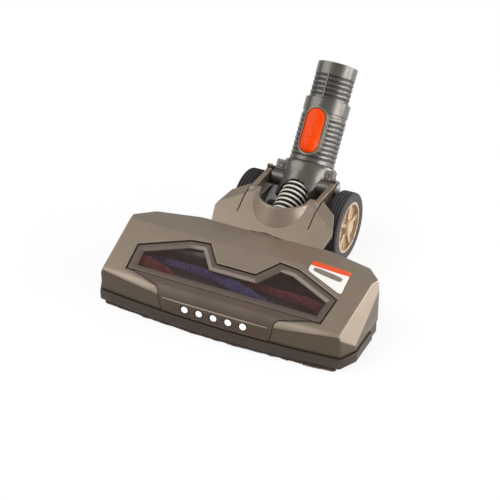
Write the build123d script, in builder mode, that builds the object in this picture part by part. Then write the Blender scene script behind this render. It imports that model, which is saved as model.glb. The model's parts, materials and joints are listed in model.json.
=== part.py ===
from build123d import *
from math import atan2, cos, degrees, radians, sin
import os

os.makedirs("parts", exist_ok=True)

# Head outline in plan, half of it, from the middle of the bowed front round to the rear
head_half = 119.5
front_y = -9.5
bow_half = 58.0
bow_y = -7.7
front_corner_in = 7.5
front_corner_half = head_half - front_corner_in
front_corner_y = -3.0
side_front_y = 12.0
side_rear_y = 60.0
rear_corner_in = 16.5
rear_corner_half = head_half - rear_corner_in
rear_corner_y = 80.0
rear_bend_half = 64.0
rear_bend_y = 91.5
rear_y = 95.0

# Head side view: the window slope rises from the front to a ridge, then falls to the rear
cover_low = 13.4
nose_low = 20.0
nose_y = -1.5
slope_z = 36.0
ridge_y = 54.5
ridge_z = 52.8
rear_z = 46.0
wall = 2.5
nose_lead = 0.6

# Bright facet along each side of the cover, by three of its corners
facet_front_in = 9.0
facet_rear_in = 5.0
facet_front = (head_half - facet_front_in, -4.5, 34.0)
facet_rear = (head_half - facet_rear_in, 49.0, 51.2)
facet_low = (head_half, 57.0, 42.0)

# Window in the slope
window_front_in = 28.1
window_front_half = head_half - window_front_in
window_front_y = 3.7
window_side_in = 25.0
window_side_half = head_half - window_side_in
window_side_y = 30.6
window_peak_half = 51.3
window_peak_y = 49.0
window_bump_half = 32.8
window_bump_y = 50.9
window_dip_half = 18.0
window_dip_y = 33.0
window_groove = 1.5
window_border = 8.0
window_lip = 3.0
window_cut = 9.0
lens_thick = 2.0
border_sink = 0.4
lens_sink = 1.8
bevel_wide = 3.0
flange_thick = 1.6

# Light panel at the front
panel_low_half = 50.0
panel_top_half = 55.0
panel_top_z = 33.4
panel_corner = 5.0
panel_flare_half = 72.0
panel_flare_z = 35.4
panel_sink = 0.4
panel_wall = 2.1
panel_gap = 0.4
lamp_count = 5
lamp_pitch = 13.64
lamp_r = 3.0
lamp_round = 1.5
lamp_z = 21.6
lamp_tip_y = -10.4
board_y = -4.0
board_thick = 1.6
board_half = 36.0
board_low = 14.5
board_high = 28.7

# Base tray and what rests on the floor
base_low = 2.0
base_floor = 2.2
base_lip_top = 18.0
base_wall = 2.2
bumper_top = 12.6
bumper_proud = 1.6
bumper_end_y = 44.5
skirt_in = 0.8
strip_end_in = 9.5
strip_half = head_half - strip_end_in
strip_proud = 0.6
strip_rear_y = 3.5
rear_strip_y = 48.0
rear_strip_end_in = 31.5
rear_strip_half = head_half - rear_strip_end_in
rear_strip_width = 3.0
rear_strip_low = 0.8

# Brush roller
roller_y = 26.0
roller_z = 19.5
roller_end_in = 24.5
roller_half = head_half - roller_end_in
core_r = 12.5
bristle_in = 11.5
bristle_r = 18.5
bristle_width = 5.0
bristle_twist = 200.0
bristle_steps = 10
bristle_starts = {"bristles_blue": 0.0, "bristles_red": 90.0}
shaft_r = 3.0
shaft_gap = 0.05
chamber_gap = 1.5
chamber_half = roller_half + chamber_gap
chamber_front = 6.5
chamber_rear = 45.5
chamber_wall = 1.5
chamber_top = 33.0
bearing_r = 8.0
bearing_wide = 3.0
shaft_past = 3.0
mouth_half = 17.0
mouth_low = 10.0

# Drive at the left end
pulley_wide = 6.0
pulley_room = 0.8
pulley_in = chamber_half + chamber_wall + bearing_wide + pulley_room
roller_pulley_r = 11.0
motor_pulley_r = 4.8
flange_r = 1.4
flange_wide = 1.0
belt_gap = 0.3
belt_thick = 1.2
motor_y = 59.2
motor_z = 32.0
motor_r = 12.0
motor_end_in = 27.5
motor_left = motor_end_in - head_half
motor_long = 54.0
motor_shaft_r = 1.5
motor_shaft_in = 5.0
motor_shaft_clear = 1.5
bracket_in = 6.0
bracket_half = 10.5

# Control board on the right of the tray
pcb_end_in = 31.5
pcb_right = head_half - pcb_end_in
pcb_long = 44.0
pcb_left = pcb_right - pcb_long
pcb_front_y = 56.0
pcb_rear_y = 78.0
pcb_rise = 4.0
pcb_thick = 1.6
board_rib_front = 58.0
board_rib_rear = 74.0
chip_long = 12.0
chip_high = 5.0
chip_in = 5.0
chip_shares = (0.1, 0.55)

# Screws through the tray
screw_front_in = 13.5
screw_side_in = 21.5
screw_places = [(head_half - screw_front_in, 3.0), (head_half - screw_side_in, 70.0), (30.0, 84.0)]
screw_head_r = 3.0
screw_head_high = 2.0
screw_r = 1.5
screw_top = 16.0
post_r = 4.0

# Neck hump at the rear: a skin over the wheels, a leaning drum and two cheeks
hump_front_half = 52.0
hump_front_y = 84.0
wing_half = 57.0
wing_y = 104.0
wing_tip_half = 50.0
wing_tip_y = 124.0
wing_in_y = 134.0
hump_low = 30.0
hump_rise_y = 95.0
hump_rise_z = 50.0
hump_rise_deg = 30.0
wing_plane_at = (33.5, 134.0, 68.0)
wing_plane_normal = (0.19, -0.23, 0.95)
hump_skin = 3.5
wing_groove = 0.8
wing_groove_deep = 1.2
cheek_slope_z = 57.0
cheek_slope_y = 128.0
cheek_under_y = 150.0
shelf_end_y = 122.0
shelf_top = 7.0
base_cheek_front = 97.0
base_cheek_rear = 168.0
base_cheek_low = 21.0
base_cheek_heel = 158.0
base_cheek_toe = 124.0
drum_low = 46.0
drum_low_y = 121.5
drum_low_r = 27.5
drum_foot_half = 36.0
drum_top = 67.0
drum_top_y = 131.5
drum_top_r = 26.0
drum_wall = 2.4
rim_flat = 0.2
cheek_in = 29.0
cheek_out = 34.0
cheek_top = 68.0
cheek_low = 46.0
cheek_front_y = 112.0
cheek_end_r = 9.0
tab_high = 4.0
tab_wide = 3.0

# Tilt pivot and the tube above it
pivot_y = 166.0
pivot_z = 60.0
pin_r = 4.5
pin_gap = 0.05
pin_in = 18.5
pin_head_r = 6.5
pin_head = 1.4
ball_r = 26.5
ball_half = 22.5
hood_r = 21.6
hood_low_s = -34.0
hood_low_r = 31.0
hood_low_out = 6.0
boss_r = 8.0
boss_out = 28.6
tube_y = 179.5
tube_z = 60.0
tube_lean = 36.4
socket_r = 21.1
rib_depth = 0.8
wand_r = 18.7
wand_bore_r = 16.2
collar_s = 11.0
collar_long = 4.0
socket_end_s = 70.0
smooth_s = 58.0
wand_foot_s = 44.0
wand_end_s = 104.0
spigot_r = 17.4
spigot_bore_r = 14.5
spigot_end_s = 28.0
spigot_low_s = -2.0
sleeve_r = 20.6
sleeve_low_s = -4.0
swivel_gap = 0.3
ring_s = 25.6
ring_thick = 1.8
ring_r = 19.0
ring_in_r = 16.4
ring_room = 2.0
rib_pitch = 4.4
rib_wide = 2.4
wand_grooves = 5
ear_in = 17.0
ear_out = 28.0
ear_low_s = -3.0
ear_high_s = 8.0
ear_front = 14.0
ear_back = 4.0
ear_screw_r = 2.2
ear_screw_proud = 0.55

# Release button on the front of the socket
button_s = 39.0
button_long = 41.0
button_wide = 17.5
button_gap = 0.5
button_reach = 40.0
button_in_r = 20.2
button_out_r = 22.8
bezel_wide = 1.8
pad_proud = 0.2
bezel_out_r = 22.3

# Suction duct and the ribbed hose behind it
hose_y = 106.0
hose_z = 38.0
hose_rise = 19.0
hose_long = 58.0
hose_r = 14.0
hose_root_r = 12.6
hose_bore_r = 11.4
hose_ribs = 11
hose_rib_lead = 0.25
nozzle_long = 9.0
nozzle_bore_r = 9.9
pocket_r = 15.2
passage_r = 10.0
duct_half = 20.0
duct_mid_z = 23.0
duct_high = 28.0
duct_wall = 2.0
cuff_flange = 1.5

# Wheels on stub axles
wheel_y = 155.5
wheel_z = 32.0
tyre_r = 32.0
tyre_in = 38.5
tyre_out = 52.5
tyre_round = 2.5
tyre_grooves = 4
groove_wide = 1.0
groove_deep = 1.0
rim_r = 23.9
rim_in = 40.0
rim_out = 52.0
rim_ring = 2.6
web_in = 46.0
web_out = 48.0
spoke_out = 50.4
web_hole_r = 1.4
web_hole_at = 10.5
hub_r = 7.0
hub_in = 36.0
spoke_count = 5
spoke_wide = 4.0
axle_r = 4.0
axle_gap = 0.08
axle_end = 50.0
cap_r = 6.0
cap_thick = 1.0

# Values worked out from the sizes above
slope_deg = degrees(atan2(ridge_z - slope_z, ridge_y))
slope_run = cos(radians(slope_deg))
base_top = base_low + base_floor
lean = radians(tube_lean)
tube_plane = Plane(origin=(0, tube_y, tube_z), x_dir=(1, 0, 0), z_dir=(0, sin(lean), cos(lean)))
rise = radians(hose_rise)
hose_plane = Plane(origin=(0, hose_y, hose_z), x_dir=(1, 0, 0), z_dir=(0, cos(rise), sin(rise)))
slope_plane = Plane(
    origin=(0, 0, slope_z),
    x_dir=(1, 0, 0),
    z_dir=(0, -sin(radians(slope_deg)), slope_run),
)
# The socket's front line faces the user: its plane looks along the press of the button
button_plane = Plane(
    origin=tube_plane.from_local_coords((0, 0, button_s)),
    x_dir=(1, 0, 0),
    z_dir=(0, -cos(lean), sin(lean)),
)
base_cheek = [
    (base_cheek_front, base_low),
    (base_cheek_front, cheek_low),
    (base_cheek_rear, cheek_low),
    (base_cheek_rear, wheel_z),
    (base_cheek_heel, base_cheek_low),
    (base_cheek_toe, base_low),
]
cover_cheek = [
    (cheek_front_y, cheek_low),
    (cheek_front_y, cheek_slope_z),
    (cheek_slope_y, cheek_top),
    (pivot_y, cheek_top),
    (pivot_y, pivot_z - cheek_end_r),
    (cheek_under_y, cheek_low),
]
far = 400.0


def tube_level(s):
    """Plane across the tube, a distance s up its axis."""
    return tube_plane.offset(s)


def across(x, y=0.0, z=0.0):
    """Plane across the width at x, its sketch axes along Y and Z."""
    return Plane(origin=(x, y, z), x_dir=(0, 1, 0), z_dir=(1, 0, 0))


def plan_face(grow, z=0.0):
    """Face of the head's outline in plan at a height, grown outwards by a distance."""
    with BuildSketch(Plane.XY.offset(z)) as plan:
        with BuildLine():
            bow = ThreePointArc((0, front_y), (bow_half, bow_y), (front_corner_half, front_corner_y))
            Polyline(
                bow @ 1,
                (head_half, side_front_y),
                (head_half, side_rear_y),
                (rear_corner_half, rear_corner_y),
                (rear_bend_half, rear_bend_y),
                (0, rear_y),
            )
            mirror(about=Plane.YZ)
        make_face()
        if grow:
            offset(amount=grow, kind=Kind.INTERSECTION)
    return plan.sketch


def facet_plane(side, inset):
    """Plane of the bright side facet, moved inwards by a distance."""
    start = Vector(*facet_front)
    along = Vector(*facet_rear) - start
    down = Vector(*facet_low) - start
    normal = down.cross(along).normalized()
    place = start - normal * inset
    return Plane(
        origin=(side * place.X, place.Y, place.Z),
        x_dir=(side * along.X, along.Y, along.Z),
        z_dir=(side * normal.X, normal.Y, normal.Z),
    )


def head_block(inset, low):
    """Solid head, drawn in by a distance on every side but its underside."""
    with BuildPart() as block:
        add(plan_face(-inset))
        extrude(amount=far)
        with BuildSketch(Plane.YZ):
            with BuildLine():
                front = front_y - nose_lead
                nose = Line((front, low - inset), (front, nose_low))
                slope = Line((nose_y, slope_z + nose_y * (ridge_z - slope_z) / ridge_y), (ridge_y, ridge_z))
                TangentArc(nose @ 1, slope @ 0, tangent=nose % 1)
                Polyline(slope @ 1, (rear_y + wall, rear_z), (rear_y + wall, low - inset), nose @ 0)
            make_face()
            if inset:
                offset(amount=-inset, kind=Kind.INTERSECTION)
        extrude(amount=far, both=True, mode=Mode.INTERSECT)
        for side in (1, -1):
            with Locations(facet_plane(side, inset)):
                Box(far, far, far, align=(Align.CENTER, Align.CENTER, Align.MIN), mode=Mode.SUBTRACT)
    return block.part


def hump_block(drop):
    """Solid neck hump under its slanted top faces, lowered by a distance."""
    with BuildPart() as block:
        with BuildSketch(Plane.XY.offset(hump_low)):
            with BuildLine():
                Polyline(
                    (0, hump_front_y),
                    (hump_front_half, hump_front_y),
                    (wing_half, wing_y),
                    (wing_tip_half, wing_tip_y),
                    (cheek_out, wing_in_y),
                    (0, wing_in_y),
                )
                mirror(about=Plane.YZ)
            make_face()
        extrude(amount=cheek_top - hump_low - drop)
        tilt = radians(hump_rise_deg)
        rise_plane = Plane(
            origin=(0, hump_rise_y, hump_rise_z - drop),
            x_dir=(1, 0, 0),
            z_dir=(0, -sin(tilt), cos(tilt)),
        )
        with Locations(rise_plane):
            Box(far, far, far, align=(Align.CENTER, Align.CENTER, Align.MIN), mode=Mode.SUBTRACT)
        for side in (1, -1):
            at_x, at_y, at_z = wing_plane_at
            lean_x, lean_y, lean_z = wing_plane_normal
            wing_plane = Plane(
                origin=(side * at_x, at_y, at_z - drop),
                x_dir=(0, 1, 0),
                z_dir=(side * lean_x, lean_y, lean_z),
            )
            with Locations(wing_plane):
                Box(far, far, far, align=(Align.CENTER, Align.CENTER, Align.MIN), mode=Mode.SUBTRACT)
    return block.part


def drum_level(z):
    """Centre and radius, front to back, of the neck hump's leaning drum at a height."""
    part_way = (z - drum_low) / (drum_top - drum_low)
    centre_y = drum_low_y + part_way * (drum_top_y - drum_low_y)
    return centre_y, drum_low_r + part_way * (drum_top_r - drum_low_r)


def drum_body():
    """Leaning drum, flared from its round rim to a wide foot."""
    with BuildPart() as body:
        with BuildSketch(Plane(origin=(0, drum_low_y, drum_low))):
            Ellipse(drum_foot_half, drum_low_r)
        with BuildSketch(Plane(origin=(0, drum_top_y, drum_top))):
            Ellipse(drum_top_r + rim_flat, drum_top_r)
        loft()
    return body.part


def drum_well(low, high):
    """Round well inside the drum between two heights."""
    with BuildPart() as well:
        for z in (low, high):
            centre_y, radius = drum_level(z)
            with BuildSketch(Plane(origin=(0, centre_y, z))):
                Circle(radius - drum_wall)
        loft()
    return well.part


def window_face(grow, depth):
    """Face of the window outline on the slope, grown by a distance and sunk by a depth."""
    with BuildSketch(slope_plane.offset(-depth)) as outline:
        with BuildLine():
            Polyline(
                (0, window_front_y / slope_run),
                (window_front_half, window_front_y / slope_run),
                (window_side_half, window_side_y / slope_run),
                (window_peak_half, window_peak_y / slope_run),
                (window_bump_half, window_bump_y / slope_run),
                (window_dip_half, window_dip_y / slope_run),
                (0, window_dip_y / slope_run),
            )
            mirror(about=Plane.YZ)
        make_face()
        if grow:
            offset(amount=grow, kind=Kind.INTERSECTION)
    return outline.sketch


def panel_tool(inset):
    """Prism through the front wall with the light panel's outline, flared up to the window."""
    window_front_z = slope_z + window_front_y * (ridge_z - slope_z) / ridge_y
    rear = window_front_y + (window_groove - inset) * slope_run
    with BuildPart() as tool:
        with BuildSketch(Plane.XZ.offset(-rear)):
            with BuildLine():
                Polyline(
                    (0, cover_low - wall),
                    (panel_low_half, cover_low - wall),
                    (panel_top_half, panel_top_z),
                    (panel_flare_half, panel_flare_z),
                    (window_front_half, window_front_z),
                    (window_front_half, ridge_z),
                    (0, ridge_z),
                )
                mirror(about=Plane.YZ)
            outline = make_face()
            corners = outline.vertices().filter_by(lambda corner: abs(abs(corner.X) - panel_top_half) < wall)
            fillet(corners, panel_corner)
            if inset:
                offset(amount=-inset, kind=Kind.INTERSECTION)
        extrude(amount=rear - front_y + bumper_proud)
    return tool.part


def bristle_set(start_deg):
    """Two twisted tufted strips, half a turn apart, round the roller."""
    with BuildPart() as strips:
        for half_turn in (0, 180):
            for step in range(bristle_steps + 1):
                share = step / bristle_steps
                turn = radians(start_deg + half_turn + bristle_twist * share)
                place = Plane(
                    origin=(-roller_half + 2 * roller_half * share, roller_y, roller_z),
                    x_dir=(0, cos(turn), sin(turn)),
                    z_dir=(1, 0, 0),
                )
                with BuildSketch(place):
                    with Locations(((bristle_in + bristle_r) / 2, 0)):
                        Rectangle(bristle_r - bristle_in, bristle_width)
            loft(ruled=True)
    return strips.part


def stadium(grow, reach):
    """Prism with the button's rounded outline, grown by a distance, out of the tube's axis."""
    with BuildPart() as prism:
        with BuildSketch(button_plane):
            SlotOverall(button_long + 2 * grow, button_wide + 2 * grow, rotation=90)
        extrude(amount=reach)
    return prism.part


def edge_band(outer, inner, high, keep):
    """Band round the head between two outlines, kept in front of or behind the bumper's ends."""
    with BuildPart() as ring:
        add(plan_face(outer, base_low))
        extrude(amount=high - base_low)
        add(plan_face(inner, base_low))
        extrude(amount=high - base_low, mode=Mode.SUBTRACT)
        split(bisect_by=Plane.XZ.offset(-bumper_end_y), keep=keep)
    return ring.part


def tube_ring(outer_r, inner_r, low_s, high_s):
    """Ring round the tube's axis between two distances up it."""
    with BuildPart() as ring:
        with BuildSketch(tube_level(low_s)):
            Circle(outer_r)
            if inner_r:
                Circle(inner_r, mode=Mode.SUBTRACT)
        extrude(amount=high_s - low_s)
    return ring.part


def hood_form(top_s):
    """Solid of the elbow's hood from deep under the ball up to a distance up the tube."""
    with BuildPart() as form:
        with BuildSketch(tube_level(hood_low_s)):
            with Locations((0, -hood_low_out)):
                Ellipse(ball_half, hood_low_r)
        with BuildSketch(tube_level(top_s)):
            Ellipse(hood_r + rim_flat, hood_r)
        loft()
    return form.part


def hose_ring(outer_r, inner_r, low_t, high_t):
    """Ring round the hose's axis between two distances along it."""
    with BuildPart() as ring:
        with BuildSketch(hose_plane.offset(low_t)):
            Circle(outer_r)
            if inner_r:
                Circle(inner_r, mode=Mode.SUBTRACT)
        extrude(amount=high_t - low_t)
    return ring.part


def cross_rod(radius, low_x, high_x, y, z):
    """Round bar across the width."""
    with BuildPart() as rod:
        with BuildSketch(across(low_x, y, z)):
            Circle(radius)
        extrude(amount=high_x - low_x)
    return rod.part


def block(low, high):
    """Straight box between two corners."""
    with BuildPart() as box:
        with Locations(Vector(*low)):
            Box(
                high[0] - low[0],
                high[1] - low[1],
                high[2] - low[2],
                align=(Align.MIN, Align.MIN, Align.MIN),
            )
    return box.part


def plate(outline, low_x, high_x):
    """Plate across the width with an outline in side view."""
    with BuildPart() as side_plate:
        with BuildSketch(across(low_x)):
            with BuildLine():
                Polyline(*outline, close=True)
            make_face()
        extrude(amount=high_x - low_x)
    return side_plate.part


def duct_solid(grow):
    """Body of the duct from its flat mouth to its round end, grown by a distance."""
    mouth = Plane(origin=(0, chamber_rear + chamber_wall, duct_mid_z), x_dir=(1, 0, 0), z_dir=(0, 1, 0))
    with BuildPart() as body:
        with BuildSketch(mouth):
            Rectangle(2 * (duct_half + grow), duct_high + 2 * grow)
        with BuildSketch(hose_plane):
            Circle(hose_bore_r + grow)
        loft()
    return body.part


def both_sides(points):
    """Places on the right and, mirrored, on the left."""
    return [(side * x, y) for side in (1, -1) for x, y in points]


# Shapes that more than one piece shares
with BuildPart() as hump_shell:
    add(hump_block(0))
    add(hump_block(hump_skin), mode=Mode.SUBTRACT)
hump_skin_part = hump_shell.part

with BuildPart() as wing_grooves:
    for low_x in (cheek_out, -cheek_out - wing_groove):
        add(block((low_x, wing_y, hump_low), (low_x + wing_groove, wing_in_y, far)))
    add(hump_block(0), mode=Mode.INTERSECT)
    add(hump_block(wing_groove_deep), mode=Mode.SUBTRACT)

ear_middle_s = (ear_low_s + ear_high_s) / 2
with BuildPart() as ear_screw_pair:
    for side in (1, -1):
        ear_screw_at = tube_plane.from_local_coords((side * (ear_in + ear_out) / 2, -ear_back, ear_middle_s))
        with BuildSketch(Plane(origin=ear_screw_at, x_dir=(1, 0, 0), z_dir=button_plane.z_dir)):
            Circle(ear_screw_r)
        extrude(amount=ear_front - ear_back + ear_screw_proud)
ear_screw_part = ear_screw_pair.part

with BuildPart() as pad_shape:
    add(stadium(button_gap + bezel_wide + rib_depth, button_reach))
    add(tube_ring(socket_r + pad_proud, wand_r, collar_s, socket_end_s), mode=Mode.INTERSECT)
button_pad = pad_shape.part

with BuildPart() as pocket_shape:
    add(stadium(button_gap, button_reach))
    add(tube_ring(wand_r, 0, collar_s, socket_end_s), mode=Mode.SUBTRACT)
button_pocket = pocket_shape.part

# Base tray: floor, lip inside the cover, skirt at the rear, roller chamber and wheel cheeks
chamber_out = chamber_half + chamber_wall
cheek_wide = cheek_out - cheek_in
with BuildPart() as base_housing:
    add(plan_face(-wall, base_low))
    extrude(amount=base_lip_top - base_low)
    add(plan_face(-wall - base_wall, base_top))
    extrude(amount=base_lip_top, mode=Mode.SUBTRACT)
    add(edge_band(-skirt_in, -wall, bumper_top, Keep.BOTTOM))
    front_low = chamber_front - chamber_wall
    mouth_rear = chamber_rear + chamber_wall
    add(block((-chamber_out, front_low, base_top), (chamber_out, chamber_front, base_lip_top)))
    add(block((-chamber_out, chamber_rear, base_top), (chamber_out, mouth_rear, chamber_top)))
    add(block((-chamber_half, chamber_front, 0), (chamber_half, chamber_rear, base_top)), mode=Mode.SUBTRACT)
    for low_x in (chamber_half, -chamber_out):
        add(block((low_x, chamber_front, base_top), (low_x + chamber_wall, chamber_rear, chamber_top)))
    add(cross_rod(shaft_r + swivel_gap, -chamber_out, chamber_out, roller_y, roller_z), mode=Mode.SUBTRACT)
    mouth_high = (mouth_half, mouth_rear, chamber_top)
    add(block((-mouth_half, chamber_rear, mouth_low), mouth_high), mode=Mode.SUBTRACT)
    for x, y in both_sides(screw_places):
        with BuildSketch(Plane.XY.offset(base_top)):
            with Locations((x, y)):
                Circle(post_r)
        extrude(amount=base_lip_top - base_top)
        with BuildSketch(Plane.XY.offset(base_low)):
            with Locations((x, y)):
                Circle(screw_head_r)
        extrude(amount=screw_head_high, mode=Mode.SUBTRACT)
        with BuildSketch(Plane.XY.offset(base_low)):
            with Locations((x, y)):
                Circle(screw_r)
        extrude(amount=screw_top - base_low, mode=Mode.SUBTRACT)
    for y in (board_rib_front, board_rib_rear):
        add(block((pcb_left, y, base_top), (pcb_right, y + chamber_wall, base_top + pcb_rise)))
    shelf_front = rear_y - wall - base_wall
    add(block((-cheek_out, shelf_front, base_low), (cheek_out, shelf_end_y, shelf_top)))
    for low_x in (cheek_in, -cheek_out):
        add(plate(base_cheek, low_x, low_x + cheek_wide))
        add(cross_rod(axle_r, low_x, low_x + cheek_wide, wheel_y, wheel_z), mode=Mode.SUBTRACT)
base_housing.part.label = "base_housing"
export_step(base_housing.part, "parts/base_housing.step")

# Top cover: shell of the head with its window and panel openings, hump, drum and cheeks
with BuildPart() as top_cover:
    add(head_block(0, cover_low))
    add(head_block(wall, cover_low - base_lip_top), mode=Mode.SUBTRACT)
    extrude(window_face(0, -window_lip), amount=-window_lip - window_cut, mode=Mode.SUBTRACT)
    add(panel_tool(0), mode=Mode.SUBTRACT)
    add(hump_skin_part)
    add(drum_body())
    add(drum_well(duct_mid_z + duct_high / 2, cheek_top + drum_wall), mode=Mode.SUBTRACT)
    add(block((-cheek_in, drum_top_y, 0), (cheek_in, far, far)), mode=Mode.SUBTRACT)
    add(duct_solid(duct_wall / 2), mode=Mode.SUBTRACT)
    add(wing_grooves.part, mode=Mode.SUBTRACT)
    for low_x in (cheek_in, -cheek_out):
        add(plate(cover_cheek, low_x, low_x + cheek_wide))
        add(cross_rod(cheek_end_r, low_x, low_x + cheek_wide, pivot_y, pivot_z))
        tab_low = (low_x, pivot_y - tab_wide, cheek_top)
        add(block(tab_low, (low_x + cheek_wide, pivot_y, cheek_top + tab_high)))
        add(cross_rod(pin_r, low_x, low_x + cheek_wide, pivot_y, pivot_z), mode=Mode.SUBTRACT)
top_cover.part.label = "top_cover"
export_step(top_cover.part, "parts/top_cover.step")

# Window: a border with a hidden flange under the cover, and a smoked lens inside it
with BuildPart() as window_frame:
    frame_low = wall + flange_thick
    extrude(window_face(-window_groove, border_sink), amount=border_sink - frame_low)
    extrude(window_face(window_lip, wall), amount=-flange_thick)
    extrude(window_face(-window_border, 0), amount=-frame_low - border_sink, mode=Mode.SUBTRACT)
    border_face = window_frame.faces().sort_by(Axis((0, 0, slope_z), slope_plane.z_dir))[-1]
    inner_edges = border_face.inner_wires()[0].edges()
    chamfer(inner_edges, length=bevel_wide, length2=lens_sink - border_sink, reference=border_face)
window_frame.part.label = "window_frame"
export_step(window_frame.part, "parts/window_frame.step")

with BuildPart() as window_lens:
    extrude(window_face(-window_border, lens_sink), amount=-lens_thick)
window_lens.part.label = "window_lens"
export_step(window_lens.part, "parts/window_lens.step")

# Light panel: a slice of the head's front wall with a row of lamp holes
with BuildPart() as light_panel:
    add(head_block(panel_sink, cover_low))
    add(head_block(panel_sink + panel_wall, cover_low - base_lip_top), mode=Mode.SUBTRACT)
    add(panel_tool(panel_gap), mode=Mode.INTERSECT)
    with BuildSketch(Plane.XZ):
        with Locations((0, lamp_z)):
            with GridLocations(lamp_pitch, 1, lamp_count, 1):
                Circle(lamp_r)
    extrude(amount=far, both=True, mode=Mode.SUBTRACT)
light_panel.part.label = "light_panel"
export_step(light_panel.part, "parts/light_panel.step")

with BuildPart() as led_lamps:
    with BuildSketch(Plane.XZ.offset(-board_y)):
        with Locations((0, lamp_z)):
            with GridLocations(lamp_pitch, 1, lamp_count, 1):
                Circle(lamp_r)
    extrude(amount=board_y - lamp_tip_y)
    fillet(led_lamps.edges().group_by(Axis.Y)[0], lamp_round)
led_lamps.part.label = "led_lamps"
export_step(led_lamps.part, "parts/led_lamps.step")

with BuildPart() as led_board:
    add(block((-board_half, board_y, board_low), (board_half, board_y + board_thick, board_high)))
led_board.part.label = "led_board"
export_step(led_board.part, "parts/led_board.step")

# Bumper round the front, and the strips under the head
with BuildPart() as bumper:
    add(edge_band(bumper_proud, -wall, bumper_top, Keep.TOP))
bumper.part.label = "bumper"
export_step(bumper.part, "parts/bumper.step")

with BuildPart() as front_strip:
    add(plan_face(bumper_proud + strip_proud))
    extrude(amount=base_low)
    add(block((-strip_half, -far, 0), (strip_half, strip_rear_y, base_low)), mode=Mode.INTERSECT)
front_strip.part.label = "front_strip"
export_step(front_strip.part, "parts/front_strip.step")

with BuildPart() as rear_strip:
    rear_strip_end = rear_strip_y + rear_strip_width
    add(block((-rear_strip_half, rear_strip_y, rear_strip_low), (rear_strip_half, rear_strip_end, base_low)))
rear_strip.part.label = "rear_strip"
export_step(rear_strip.part, "parts/rear_strip.step")

with BuildPart() as base_screws:
    for x, y in both_sides(screw_places):
        with BuildSketch(Plane.XY.offset(base_low)):
            with Locations((x, y)):
                Circle(screw_head_r)
        extrude(amount=screw_head_high)
        with BuildSketch(Plane.XY.offset(base_low)):
            with Locations((x, y)):
                Circle(screw_r)
        extrude(amount=screw_top - base_low)
base_screws.part.label = "base_screws"
export_step(base_screws.part, "parts/base_screws.step")

# Brush roller: core, shaft, pulley and two pairs of twisted strips
roller_left = -pulley_in - pulley_wide
roller_right = chamber_out + bearing_wide + shaft_past
for name, start_deg in bristle_starts.items():
    with BuildPart() as bristles:
        add(bristle_set(start_deg))
    bristles.part.label = name
    export_step(bristles.part, f"parts/{name}.step")

with BuildPart() as roller_core:
    add(cross_rod(core_r, -roller_half, roller_half, roller_y, roller_z))
    add(cross_rod(shaft_r, -roller_half, roller_half, roller_y, roller_z), mode=Mode.SUBTRACT)
    for start_deg in bristle_starts.values():
        add(bristle_set(start_deg), mode=Mode.SUBTRACT)
roller_core.part.label = "roller_core"
export_step(roller_core.part, "parts/roller_core.step")

with BuildPart() as roller_shaft:
    add(cross_rod(shaft_r, roller_left, roller_right, roller_y, roller_z))
roller_shaft.part.label = "roller_shaft"
export_step(roller_shaft.part, "parts/roller_shaft.step")

with BuildPart() as roller_pulley:
    add(cross_rod(roller_pulley_r, roller_left, -pulley_in, roller_y, roller_z))
    for low_x in (roller_left, -pulley_in - flange_wide):
        add(cross_rod(roller_pulley_r + flange_r, low_x, low_x + flange_wide, roller_y, roller_z))
    add(cross_rod(shaft_r, roller_left, -pulley_in, roller_y, roller_z), mode=Mode.SUBTRACT)
roller_pulley.part.label = "roller_pulley"
export_step(roller_pulley.part, "parts/roller_pulley.step")

for name, low_x in (("bearing_right", chamber_out), ("bearing_left", -chamber_out - bearing_wide)):
    with BuildPart() as bearing:
        add(cross_rod(bearing_r, low_x, low_x + bearing_wide, roller_y, roller_z))
        bore_r = shaft_r + shaft_gap
        add(cross_rod(bore_r, low_x, low_x + bearing_wide, roller_y, roller_z), mode=Mode.SUBTRACT)
    bearing.part.label = name
    export_step(bearing.part, f"parts/{name}.step")

# Drive: motor in its saddle, its pulley and the belt
with BuildPart() as motor:
    add(cross_rod(motor_r, motor_left, motor_left + motor_long, motor_y, motor_z))
    bore_end = motor_left + motor_shaft_in
    add(cross_rod(motor_shaft_r + shaft_gap, motor_left, bore_end, motor_y, motor_z), mode=Mode.SUBTRACT)
motor.part.label = "motor"
export_step(motor.part, "parts/motor.step")

with BuildPart() as motor_bracket:
    bracket_left = motor_left + bracket_in
    bracket_right = motor_left + motor_long - bracket_in
    bracket_low = (bracket_left, motor_y - bracket_half, base_top)
    add(block(bracket_low, (bracket_right, motor_y + bracket_half, motor_z)))
    add(cross_rod(motor_r, bracket_left, bracket_right, motor_y, motor_z), mode=Mode.SUBTRACT)
motor_bracket.part.label = "motor_bracket"
export_step(motor_bracket.part, "parts/motor_bracket.step")

with BuildPart() as motor_pulley:
    add(cross_rod(motor_pulley_r, roller_left, -pulley_in, motor_y, motor_z))
    for low_x in (roller_left, -pulley_in - flange_wide):
        add(cross_rod(motor_pulley_r + flange_r, low_x, low_x + flange_wide, motor_y, motor_z))
    shaft_end = motor_left + motor_shaft_in - motor_shaft_clear
    add(cross_rod(motor_shaft_r, roller_left, shaft_end, motor_y, motor_z))
motor_pulley.part.label = "motor_pulley"
export_step(motor_pulley.part, "parts/motor_pulley.step")

with BuildPart() as belt:
    for grow, mode in ((belt_gap + belt_thick, Mode.ADD), (belt_gap, Mode.SUBTRACT)):
        with BuildSketch(across(roller_left + flange_wide + belt_gap)):
            with Locations((roller_y, roller_z)):
                Circle(roller_pulley_r + grow)
            with Locations((motor_y, motor_z)):
                Circle(motor_pulley_r + grow)
            make_hull()
        extrude(amount=pulley_wide - 2 * flange_wide - 2 * belt_gap, mode=mode)
belt.part.label = "belt"
export_step(belt.part, "parts/belt.step")

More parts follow.
